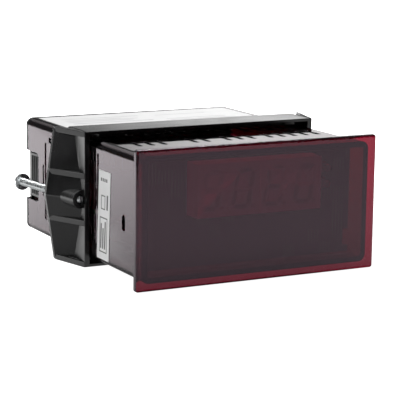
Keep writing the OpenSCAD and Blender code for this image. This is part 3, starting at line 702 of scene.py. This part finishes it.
class METER_OT_latch(PieceOperator):
    """Finish the panel latch: collar, wings with slanted plates, gussets, ribs and bosses, and rear lips put
    there as shade
    """
    bl_idname = "meter.latch"
    bl_label = "Panel latch"

    # Left wing, in millimetres: x is the distance from the middle outwards
    side_x = 47.9
    cut_inset = 0.05
    tip_x = 56.5
    tip_taper = 0.176
    root_y = 43.2
    rise = 0.36
    slope = 1.7
    plate_depth = 1.8
    plate_root = 0.5
    plate_inset = 0.1
    boss_radius = 3.3
    boss_seen_radius = 0.93 * boss_radius
    bore_radius = 1.55
    boss_span = (0.5, 14.0)
    boss_inner_x = 46.6
    boss_around = 48
    rib_heights = (7.65, 9.75)
    rib_root = 0.9
    gusset_height = 2.0
    gusset_root = 1.4
    slit = ((47.9, 47.0), (48.4, 47.0), (49.8, 53.5), (49.3, 53.5))
    web_inset = 0.1
    seat = 0.015

    # Lips at the back that close the grooves between the runners, put there as shade so the gap under the
    # collar shows dark, in millimetres
    collar_depth = 15.5
    lip_depth = 1.5
    lip_inset = 0.05
    lip_half_width = 45.2
    lip_gap = 0.08
    lip_cover = 0.6

    def build(self, scene):
        piece = finished_copy("panel_latch", "ribbed_latch", "black plastic",
                              edge=scene.meter_latch.edge)
        edit_mesh(piece.data, self.rebuild)
        smooth_by_angle(piece.data)

    def rebuild(self, work):
        """Both sides' wings, and the lips at the top and bottom of the back."""
        low, high = (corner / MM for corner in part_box("panel_latch"))
        for side in (-1, 1):
            self.cut_wing(work, side)
            self.plate(work, side, high.z)
            self.boss(work, side)
            self.gussets_and_ribs(work, side, high.z, low.y)
            self.rear_shade_lip(work, side, high.z, low.y + self.collar_depth)
        face_outwards(work)

    def cut_wing(self, work, side):
        """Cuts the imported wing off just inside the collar's side, and closes the cut."""
        cut = bmesh.ops.bisect_plane(
            work, geom=[*work.verts, *work.edges, *work.faces], clear_outer=True,
            plane_co=(side * (self.side_x - self.cut_inset) * MM, 0, 0), plane_no=(side, 0, 0))
        edges = [e for e in cut["geom_cut"] if isinstance(e, bmesh.types.BMEdge)]
        bmesh.ops.holes_fill(work, edges=edges, sides=0)

    def plate_y(self, x, z):
        """Front face of a wing's plate: y = root + rise * |z| + slope * (x - side)."""
        return self.root_y + self.rise * np.abs(z) + self.slope * (x - self.side_x)

    def plate(self, work, side, top):
        """Slanted plate: rows of four points along Z; beside the boss the rows start at the boss's wall.

        There wall = (screw line's x at the plate's y) + sqrt(R^2 - z^2), found by repeating it 12 times.
        """
        radius, end = self.boss_radius, top - self.plate_inset
        z = np.concatenate([np.linspace(-end, -radius, 6), np.linspace(-0.95, 0.95, 15) * radius,
                            np.linspace(radius, end, 6)])
        place, back = screw_line("left")
        place = place / MM
        lean = -back[0] / back[1]
        chord = np.sqrt(np.clip(self.boss_seen_radius ** 2 - z * z, 0, None))
        wall = np.full_like(z, self.side_x)
        for _ in range(12):
            wall = -place[0] + lean * (self.plate_y(wall, z) - place[1]) + chord
        inner = np.where(np.abs(z) < self.boss_seen_radius, wall, self.side_x - self.plate_root)
        outer = self.tip_x - self.tip_taper * np.abs(z)
        corners = ((inner, 0), (outer, 0), (outer, self.plate_depth), (inner, self.plate_depth))
        points = np.stack([np.stack([side * x, self.plate_y(x, z) + deep, z], -1) for x, deep in corners], 1)
        last = 4 * len(z) - 4
        faces = grid_faces(len(z), 4).tolist() + [[0, 1, 2, 3], [last + 3, last + 2, last + 1, last]]
        add_faces(work, points.reshape(-1, 3) * MM, faces)

    def boss(self, work, side):
        """Tube round the screw: rings of radius r at s along the screw's line, out, back and in again."""
        place, back = screw_line("left" if side < 0 else "right")
        a = full_turn(self.boss_around)[:, None]
        ring = np.cos(a) * np.cross(back, (0, 0, 1)) + np.sin(a) * np.array((0, 0, 1))
        start, end = self.boss_span
        profile = ((self.boss_radius, start), (self.boss_radius, end), (self.bore_radius, end),
                   (self.bore_radius, start))
        points = np.concatenate([place / MM + back * s + ring * r for r, s in profile])
        points[:, 0] = side * np.maximum(side * points[:, 0], self.boss_inner_x)
        first = np.arange(self.boss_around)
        after = (first + 1) % self.boss_around
        last = 3 * self.boss_around
        closing = np.stack([last + first, last + after, after, first], -1)
        add_faces(work, points * MM, np.vstack([grid_faces(4, self.boss_around), closing]).tolist())

    def gussets_and_ribs(self, work, side, top, front):
        """Flat webs that tie the plate to the collar: a slit gusset at top and bottom, and two ribs."""
        levels = [(top - self.gusset_height, top - self.seat, self.gusset_root, [self.slit]),
                  (*self.rib_heights, self.rib_root, [])]
        for low, high, root, holes in levels:
            level = (low + high) / 2
            tip = self.tip_x - self.tip_taper * level - self.web_inset
            inner = self.side_x - root
            web = [
                (inner, front + self.seat), (self.side_x - self.seat, front + self.seat),
                (tip, self.plate_y(tip, level)), (tip, self.plate_y(tip, level) + 0.8 * self.plate_depth),
                (inner, self.plate_y(inner, level) + 0.5 * self.plate_depth),
            ]
            loops = [[(side * x, y) for x, y in loop] for loop in (web, *holes)]
            for turn in (-1, 1):
                prism(work, loops, turn * low, turn * high)

    def rear_shade_lip(self, work, turn, top, back):
        """A bar across the back, from just off the case up into the collar's wall; a dark block put there as
        shade, which stops the light behind from showing through the gap.
        """
        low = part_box("top_label")[1].z / MM + self.lip_gap
        outline = rectangle(self.lip_half_width, back - self.lip_depth, back - self.lip_inset)
        prism(work, [outline], turn * low, turn * (top - self.lip_cover))


class METER_OT_screws(PieceOperator):
    """Cut the threads and cross recesses of the two clamp screws"""
    bl_idname = "meter.screws"
    bl_label = "Clamp screws"

    tip_taper = 0.6 * MM
    tip_narrowing = 0.45 * MM
    tip_seat = 0.55 * MM
    steps_a_turn = 7
    head_height = 2.3 * MM
    head_radius = 3.2 * MM
    dome_radius = 4.6 * MM
    dome_foot = 0.05 * MM
    recess_reach = 1.7 * MM
    recess_half_width = 0.42 * MM
    recess_wall = 0.12 * MM
    recess_depth = (0.4 * MM, 1.5 * MM)
    recess_cone = 0.45
    shank_length = 43.5 * MM
    around = 32
    head_around = 96
    crisp_angle = 50

    def thread(self, settings):
        """Shank grid: r(s, a) = R - depth * w(s / pitch - a / 2 pi) - taper(s), w a blunt triangle wave."""
        steps = int(self.shank_length / settings.pitch * self.steps_a_turn)
        s = np.linspace(self.tip_seat, self.shank_length, steps)[:, None]
        a = full_turn(self.around)
        wave = np.abs(((s / settings.pitch - a / (2 * math.pi)) % 1) * 2 - 1)
        groove = settings.depth * np.clip(wave * 1.25 - 0.12, 0, 1)
        taper = np.clip(1 - (s - self.tip_seat) / self.tip_taper, 0, 1) * self.tip_narrowing
        r = settings.shank - groove - taper
        points = np.stack([r * np.cos(a), r * np.sin(a), np.broadcast_to(s, r.shape)], -1)
        return points.reshape(-1, 3), steps

    def head(self):
        """Head grid: h(r) = H - D + sqrt(D^2 - r^2) over a flat underside, lowered inside the cross recess.

        The recess lies where |x| and |y| are inside either arm, has sloping walls and a coned floor.
        """
        reach = self.head_radius
        r = np.concatenate([[0.3 * reach, 0.97 * reach, reach, reach],
                            np.linspace(reach * 0.985, 0.02 * reach, 34)])
        a = full_turn(self.head_around)
        x = r[:, None] * np.cos(a)
        y = r[:, None] * np.sin(a)
        z = self.head_height - self.dome_radius + np.sqrt(self.dome_radius ** 2 - (x * x + y * y))
        z[:2] = 0
        z[2] = self.dome_foot

        def within(distance, limit):
            return np.clip((limit - np.abs(distance)) / self.recess_wall, 0, 1)

        half, arm = self.recess_half_width, self.recess_reach
        inside = np.maximum(within(x, half) * within(y, arm), within(y, half) * within(x, arm))
        shallow, deep = self.recess_depth
        z[4:] -= (inside * np.clip(deep - self.recess_cone * np.hypot(x, y), shallow, deep))[4:]
        return np.stack([x, y, z + self.shank_length], -1).reshape(-1, 3), len(r)

    def build(self, scene):
        around, head_around = self.around, self.head_around
        shank, rings = self.thread(scene.meter_screws)
        head, head_rings = self.head()
        points = np.vstack([shank, head, [[0, 0, self.tip_seat]], [[0, 0, head[-1][2]]]])
        head_at = len(shank)
        tip_at = head_at + len(head)
        last = tip_at - head_around
        faces = grid_faces(rings, around).tolist() + (grid_faces(head_rings, head_around) + head_at).tolist()
        faces += [[(i + 1) % around, i, tip_at] for i in range(around)]
        faces += [[last + i, last + (i + 1) % head_around, tip_at + 1] for i in range(head_around)]
        faces += [list(range(head_at, head_at + head_around))[::-1], list(range(head_at - around, head_at))]
        for name in ("left", "right"):
            node = f"latch_screw_{name}"
            place, back = screw_line(name)
            placed = points @ np.array((np.cross((0, 0, 1), back), (0, 0, 1), back)) + place
            piece = new_piece(
                f"threaded_screw_{name}", placed, faces, NODES[node]["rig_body"], "zinc")
            edit_mesh(piece.data, face_outwards)
            piece.data.set_sharp_from_angle(angle=math.radians(self.crisp_angle))
            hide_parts(node)


class METER_OT_labels(PieceOperator):
    """Dress the labels, with plain generic marks in place of print"""
    bl_idname = "meter.labels"
    bl_label = "Labels"

    lift = 0.02 * MM
    side_shift = 1.7 * MM

    # Side marks in millimetres up from the label's lower front corner: dashes, a bar, two frames and bars
    side_marks = [
        *[(2.6 + 1.5 * k, 28.6, 3.6 + 1.5 * k, 29.8) for k in range(4)],
        (1.6, 18.6, 2.8, 24.0),
        *outline(4.0, 18.4, 7.4, 23.6, 0.4),
        *outline(1.8, 2.6, 8.2, 15.6, 0.45),
        *[(3.0 + 1.7 * k, 4.0, 4.0 + 1.7 * k, end) for k, end in enumerate((14.2, 11.6, 13.2))],
    ]

    # Top lines in millimetres from the label's front left corner: place across, place back, length, width
    top_lines = [
        (6, 20, 34, 1.2), (6, 24, 27, 0.7), (6, 26.4, 30, 0.7), (6, 28.8, 24, 0.7), (6, 32.5, 33, 0.7),
        (46, 12, 28, 0.7), (46, 14.6, 24, 0.7), (46, 17.2, 29, 0.7), (46, 20.6, 26, 0.7), (46, 31, 22, 0.7),
    ]

    def build(self, scene):
        dress("side_label", "paper")
        dress("top_label", "silver")
        side, side_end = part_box("side_label")
        top, top_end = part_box("top_label")
        slant = self.side_shift / (side_end.z - side.z)

        def on_side(u, v):
            y = side.y + self.side_shift + u - slant * v
            return np.stack([np.full_like(u, side.x - self.lift), y, side.z + v], -1)

        def on_top(u, v):
            return np.stack([top.x + u, top.y + v, np.full_like(u, top_end.z + self.lift)], -1)

        lines = [(u, v, u + long, v + wide) for u, v, long, wide in self.top_lines]
        flat_bars("side_label_marks", self.side_marks, on_side, (-1, 0, 0), "ink")
        flat_bars("top_label_marks", lines, on_top, (0, 0, 1), "pale ink")


class METER_OT_display(PieceOperator):
    """Finish the display: board, two digit modules, segments, lamps and connector"""
    bl_idname = "meter.display"
    bl_label = "Display"

    shell_depth = 2.51 * MM
    joint_radius = 0.75 * MM
    joint_height = 0.55 * MM
    figure_offset = 2.46

    def build(self, scene):
        dress("display_board", "laminate")
        for side in ("left", "right"):
            finished_copy(
                f"digit_module_{side}", f"digit_face_{side}", "module face", edge=0.12 * MM)
            dress(f"digit_segments_{side}", "segment")
        finished_copy("annunciator_leds", "annunciator_lamps", "lens")
        piece = finished_copy("board_connector", "edge_connector", "epoxy", edge=0.1 * MM)
        pins_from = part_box("board_connector")[0].y + self.shell_depth
        refinish(piece, face_centres(piece)[:, 1] > pins_from, "tin")
        self.pin_joints(scene.meter_boards.grid)

    def pin_joints(self, grid):
        """Solder joints on the back of the display board, two rows of five behind each figure."""
        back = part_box("display_board")[1].y
        centres = []
        for side in ("left", "right"):
            mid = middle(f"digit_module_{side}")
            centres += [(mid.x + (half * self.figure_offset + k - 2) * grid, -mid.z - row * grid, back)
                        for half in (-1, 1) for k in range(5) for row in (-3, 3)]
        piece = domes("display_joints", centres, self.joint_radius, self.joint_height, 1)
        piece.data.transform(Matrix.Rotation(math.radians(-90), 4, "X"))


class METER_OT_boards(PieceOperator):
    """Finish the main board, its screws and the solder joints under it"""
    bl_idname = "meter.boards"
    bl_label = "Main board"

    joint_radius = 0.85 * MM
    joint_height = 0.9 * MM

    # Two rows of pins under each part, in steps of the hole grid: pins in a row, their step, the rows' offset
    pins = [
        ("converter_chip", 20, 1, 3), ("signal_header", 8, 2, 1), ("power_header", 3, 2, 1),
        ("transformer_bobbin", 5, 2, 5), ("main_capacitor", 1, 0, 1.5), ("range_switch", 1, 0, 1.5),
        ("voltage_switch", 1, 0, 1),
    ]

    def build(self, scene):
        finished_copy("main_board", "traced_board", "laminate")
        dress("board_screws", "zinc")
        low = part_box("main_board")[0].z
        grid = scene.meter_boards.grid
        centres = []
        for node, count, step, offset in self.pins:
            mid = middle(node)
            centres += [(mid.x + (k - (count - 1) / 2) * step * grid, mid.y + row * grid, low)
                        for k in range(count) for row in (-offset, offset)]
        domes("board_joints", centres, self.joint_radius, self.joint_height, -1)


class METER_OT_transformer(PieceOperator):
    """Finish the mains transformer: laminated core, nylon bobbin and taped coils"""
    bl_idname = "meter.transformer"
    bl_label = "Transformer"

    def build(self, scene):
        finished_copy("transformer_core", "sheet_core", "iron", edge=0.15 * MM)
        finished_copy("transformer_bobbin", "nylon_bobbin", "bobbin", edge=0.15 * MM)
        dress("transformer_winding", "tape")


class METER_OT_power_parts(PieceOperator):
    """Finish the supply's parts: capacitors, rectifier, regulator, heat sink and surge absorber"""
    bl_idname = "meter.power_parts"
    bl_label = "Supply parts"

    # Where bare metal begins or ends, measured from a part's top or bottom
    can_top = 0.35 * MM
    regulator_body = (4.4 * MM, 13.5 * MM)
    flush = 0.02 * MM
    absorber_legs = 1.9 * MM

    def build(self, scene):
        for node in ("main_capacitor", "small_capacitors"):
            piece = finished_copy(node, node + "_sleeved", "sleeve", sharp=40)
            refinish(piece, face_centres(piece)[:, 2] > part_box(node)[1].z - self.can_top, "aluminium")
        finished_copy("bridge_rectifier", "moulded_rectifier", "epoxy", edge=0.25 * MM)
        piece = finished_copy("voltage_regulator", "regulator_tab", "epoxy", edge=0.12 * MM)
        low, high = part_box("voltage_regulator")
        centres = face_centres(piece)
        legs_end, body_end = (low.z + height for height in self.regulator_body)
        tab = (centres[:, 2] > body_end + self.flush) | (centres[:, 1] > high.y - self.flush)
        refinish(piece, tab | (centres[:, 2] < legs_end), "tin")
        finished_copy("heat_sink", "finned_sink", "aluminium", edge=0.12 * MM)
        dress("heat_sink_screw", "zinc")
        piece = finished_copy(
            "surge_absorber", "dipped_absorber", "coating", edge=0.9 * MM)
        legs_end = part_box("surge_absorber")[0].z + self.absorber_legs
        refinish(piece, face_centres(piece)[:, 2] < legs_end, "tin")


class METER_OT_signal_parts(PieceOperator):
    """Finish the measuring parts: chip, socket, resistors, trimmers and switches"""
    bl_idname = "meter.signal_parts"
    bl_label = "Measuring parts"

    chip_half_body = 6.82 * MM
    resistor_radius = 1.15 * MM
    resistor_length = 6.2 * MM
    first_resistor = 5.3 * MM
    resistor_step = 12 * MM
    rings = 22
    around = 20

    def build(self, scene):
        finished_copy("chip_socket", "pin_socket", "epoxy", edge=0.08 * MM)
        piece = finished_copy("converter_chip", "ceramic_chip", "epoxy", edge=0.15 * MM)
        off = np.abs(face_centres(piece)[:, 1] - middle("converter_chip").y)
        refinish(piece, off > self.chip_half_body, "tin")
        self.resistors()
        for node in ("scale_trimmer", "offset_trimmer"):
            finished_copy(node, node + "_body", "blue", edge=0.15 * MM)
            dress(node + "_screw", "brass")
        finished_copy("range_switch", "range_switch_body", "red", edge=0.15 * MM)
        for k in range(1, 5):
            dress(f"range_lever_{k}", "white")
        finished_copy("voltage_switch", "voltage_switch_body", "epoxy", edge=0.2 * MM)
        finished_copy("voltage_switch_lever", "voltage_lever_cap", "red", edge=0.15 * MM)

    def resistors(self):
        """Resistor bodies: r(t) = R * (0.84 + 0.16 * bulge(t)), with a bulge near each rounded end.

        The leads stay plain wire. The band attribute runs from 0 at one end of each body to its length.
        """
        leads = finished_copy("resistors", "resistor_leads", "tin")
        low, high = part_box("resistors")
        body, rings, around = self.resistor_radius, self.rings, self.around
        t = np.linspace(0, 1, rings)
        bulge = np.exp(-((t - 0.14) / 0.11) ** 2) + np.exp(-((t - 0.86) / 0.11) ** 2)
        radius = body * (0.84 + 0.16 * np.clip(bulge, 0, 1))
        radius *= np.sqrt(np.clip(np.sin(math.pi * np.clip(t, 0.004, 0.996)) * 9, 0, 1))
        a = full_turn(around)
        x = np.broadcast_to(((t - 0.5) * self.resistor_length)[:, None], (rings, around))
        one = np.stack([x, radius[:, None] * np.cos(a), radius[:, None] * np.sin(a)], -1).reshape(-1, 3)
        centres = [(low.x + self.first_resistor + k * self.resistor_step, y, low.z + body)
                   for y in (low.y + body, high.y - body) for k in range(3)]
        edit_mesh(leads.data, lambda work: self.keep_wires(work, np.array(centres)))
        points = (np.array(centres)[:, None] + one[None]).reshape(-1, 3)
        ends = [list(range(around))[::-1], list(range((rings - 1) * around, rings * around))]
        faces = [[i + k * len(one) for i in f]
                 for k in range(len(centres)) for f in grid_faces(rings, around).tolist() + ends]
        piece = new_piece("resistor_bodies", points, faces, "circuit_base", "resistor")
        band = piece.data.attributes.new("band", "FLOAT", "POINT")
        band.data.foreach_set("value", np.tile(np.repeat(t * self.resistor_length, around), len(centres)))
        edit_mesh(piece.data, face_outwards)

    def keep_wires(self, work, centres):
        """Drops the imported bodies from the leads: the points beside a body's middle line, but off it."""
        places = np.array([point.co for point in work.verts])
        away = np.abs(places[:, None] - centres)
        off = np.hypot(away[..., 1], away[..., 2]) / self.resistor_radius
        beside = away[..., 0] < 0.52 * self.resistor_length
        body = (beside & (off > 0.6) & (off < 1.2)).any(1)
        work.verts.ensure_lookup_table()
        bmesh.ops.delete(work, geom=[work.verts[k] for k in np.flatnonzero(body)], context="VERTS")


class METER_OT_terminals(PieceOperator):
    """Finish the two pluggable terminal blocks with their clamps and screws"""
    bl_idname = "meter.terminals"
    bl_label = "Terminals"

    # Where a header's pins stand in its socket
    pin_height = 5 * MM
    pin_half = 0.51 * MM
    socket_floor = 3.1 * MM
    socket_wall = 1.5 * MM

    def build(self, scene):
        for kind in ("signal", "power"):
            piece = finished_copy(
                f"{kind}_header", f"{kind}_socket", "green", edge=0.15 * MM)
            low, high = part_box(f"{kind}_header")
            x, y, z = face_centres(piece).T
            level = np.abs(z - low.z - self.pin_height) < self.pin_half
            inner = (x > low.x + self.socket_wall) & (x < high.x - self.socket_wall)
            refinish(piece, level & inner & (y > low.y + self.socket_floor), "tin")
            finished_copy(f"{kind}_plug", f"{kind}_terminal_plug", "green", edge=0.18 * MM)
            dress(f"{kind}_clamps", "brass")
            dress(f"{kind}_clamp_screws", "zinc")


class METER_OT_rear_cover(PieceOperator):
    """Finish the rear cover with its finger tabs, and line its vents inside with a dark sheet put there as
    shade: it keeps light from shining through the vents into the case
    """
    bl_idname = "meter.rear_cover"
    bl_label = "Rear cover"

    # In millimetres
    plate_thickness = 1.7
    sheet_half_width = 38.5
    sheet_behind = (0.3, 0.02)
    sheet_z = (5.4, 19.4)

    def build(self, scene):
        cover = finished_copy("rear_cover", "tabbed_cover", "cover plastic", edge=0.18 * MM)
        edit_mesh(cover.data, self.add_shade_sheet)

    def add_shade_sheet(self, work):
        """A thin dark sheet just inside the cover's plate, over its two rows of vents, put there as shade to
        block the light they let in.
        """
        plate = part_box("rear_cover")[1].y / MM - self.plate_thickness
        front, back = (plate - depth for depth in self.sheet_behind)
        prism(work, [rectangle(self.sheet_half_width, front, back)], *self.sheet_z)
        face_outwards(work)


class METER_OT_stage(PieceOperator):
    """Set up the pale floor, the studio light and the camera"""
    bl_idname = "meter.stage"
    bl_label = "Studio"

    def build(self, scene):
        self.floor(scene)
        self.sky(scene)
        self.lamps(scene)
        self.camera(scene)
        scene.view_settings.view_transform = "Standard"

    def floor(self, scene):
        """A wide pale floor just under the meter: white to the camera.

        To everything else it glows, more towards the back and at a low angle, and not at all far to the left.
        """
        z = CAD_BOX[0].z / MM - FLOOR_GAP
        mesh = bpy.data.meshes.new("pale_floor")
        corners = [(x * MM, y * MM, z * MM) for x, y in rectangle(FLOOR_REACH, -FLOOR_REACH, FLOOR_REACH)]
        mesh.from_pydata(corners, [], [(0, 1, 2, 3)])
        floor = bpy.data.objects.new("pale_floor", mesh)
        scene.collection.objects.link(floor)
        finish, tree, shader, _ = start_material(
            "pale floor", Roughness=0.8, Base_Color=rgba(scene.meter_stage.floor), Specular_IOR_Level=0.1,
            Emission_Color=rgba((1, 1, 1)))
        axes = object_axes(tree)
        behind = ramp(tree, axes["Y"], *FLOOR_GLOW["y"], *FLOOR_GLOW["strength"])
        near = ramp(tree, axes["X"], *FLOOR_GLOW["x"])
        facing = put(tree, "ShaderNodeLayerWeight").outputs["Facing"]
        grazing = ramp(tree, facing, *FLOOR_GLOW["facing"])
        glow = maths(tree, "MULTIPLY", maths(tree, "MULTIPLY", behind, near), grazing)
        seen = put(tree, "ShaderNodeLightPath").outputs["Is Camera Ray"]
        tree.links.new(maths(tree, "MAXIMUM", glow, seen), shader.inputs["Emission Strength"])
        mesh.materials.append(finish)

    def sky(self, scene):
        """Studio surroundings: white to the camera; to everything else bright behind and dim in front."""
        world = bpy.data.worlds.new("studio")
        scene.world = world
        world.use_nodes = True
        tree = world.node_tree
        tree.nodes.clear()
        way = put(tree, "ShaderNodeTexCoord").outputs["Generated"]
        x, y, z = put(tree, "ShaderNodeSeparateXYZ", {"Vector": way}).outputs
        overhead = ramp(tree, z, 0.3, 0.7, SKY["front"], SKY["front_top"])
        behind = ramp(tree, y, -0.2, 0.7, overhead, SKY["back"])
        fade = [math.radians(degrees) for degrees in SKY["fade"]]
        rightwards = ramp(tree, maths(tree, "ARCTAN2", x, y), *fade, SKY["back_left"], 1)
        share = maths(tree, "MAXIMUM", rightwards, ramp(tree, z, 0.3, 0.55))
        above = ramp(tree, z, 0.3, 0.9, 1, SKY["top"])
        light = maths(tree, "MULTIPLY", maths(tree, "MULTIPLY", behind, share), above)
        seen = put(tree, "ShaderNodeLightPath").outputs["Is Camera Ray"]
        glow = put(tree, "ShaderNodeBackground", {"Strength": maths(tree, "MAXIMUM", light, seen)})
        output = put(tree, "ShaderNodeOutputWorld")
        tree.links.new(glow.outputs["Background"], output.inputs["Surface"])

    def lamps(self, scene):
        """Soft boxes: each is a square area lamp aimed at the meter's middle."""
        aim = (CAD_BOX[0] + CAD_BOX[1]) / 2
        for name, place, size, power in LAMPS:
            lamp = bpy.data.lights.new(name, "AREA")
            lamp.shape = "SQUARE"
            lamp.size = size
            lamp.energy = power
            holder = bpy.data.objects.new(name, lamp)
            holder.location = place
            holder.rotation_mode = "QUATERNION"
            holder.rotation_quaternion = (aim - Vector(place)).to_track_quat("-Z", "Y")
            scene.collection.objects.link(holder)

    def camera(self, scene):
        """Camera axes from its azimuth a, elevation e and roll:

        back = (sin a cos e, -cos a cos e, sin e), right = (cos a, sin a, 0), up = back x right, then rolled.
        """
        stage = scene.meter_stage
        a, e, roll = stage.azimuth, stage.elevation, stage.roll
        back = Vector((math.sin(a) * math.cos(e), -math.cos(a) * math.cos(e), math.sin(e)))
        level = Vector((math.cos(a), math.sin(a), 0))
        upright = back.cross(level)
        right = math.cos(roll) * level + math.sin(roll) * upright
        up = -math.sin(roll) * level + math.cos(roll) * upright
        data = bpy.data.cameras.new("meter camera")
        data.sensor_width = 36
        data.lens = stage.lens
        data.clip_start = 0.01
        data.clip_end = 20
        camera = bpy.data.objects.new("meter camera", data)
        turn = Matrix((right, up, back)).transposed().to_4x4()
        camera.matrix_world = Matrix.Translation(Vector(stage.place)) @ turn
        scene.collection.objects.link(camera)
        scene.camera = camera


OPERATORS = [
    METER_OT_stage, METER_OT_case, METER_OT_latch, METER_OT_screws, METER_OT_labels, METER_OT_display,
    METER_OT_boards, METER_OT_transformer, METER_OT_power_parts, METER_OT_signal_parts, METER_OT_terminals,
    METER_OT_rear_cover,
]


class METER_PT_panel(bpy.types.Panel):
    """Lists the meter's building steps"""
    bl_idname = "METER_PT_panel"
    bl_label = "Panel meter"
    bl_space_type = "VIEW_3D"
    bl_region_type = "UI"
    bl_category = "Panel meter"

    def draw(self, context):
        for operator in OPERATORS:
            self.layout.operator(operator.bl_idname)


def register():
    for group_class in SETTINGS.values():
        bpy.utils.register_class(group_class)
    for operator in [*OPERATORS, METER_PT_panel]:
        bpy.utils.register_class(operator)
    for name, group_class in SETTINGS.items():
        setattr(bpy.types.Scene, name, bpy.props.PointerProperty(type=group_class))


def unregister():
    for name in SETTINGS:
        delattr(bpy.types.Scene, name)
    for operator in [METER_PT_panel, *reversed(OPERATORS)]:
        bpy.utils.unregister_class(operator)
    for group_class in SETTINGS.values():
        bpy.utils.unregister_class(group_class)


def main():
    register()
    for operator in OPERATORS:
        category, name = operator.bl_idname.split(".")
        getattr(getattr(bpy.ops, category), name)()


if __name__ == "__main__":
    main()
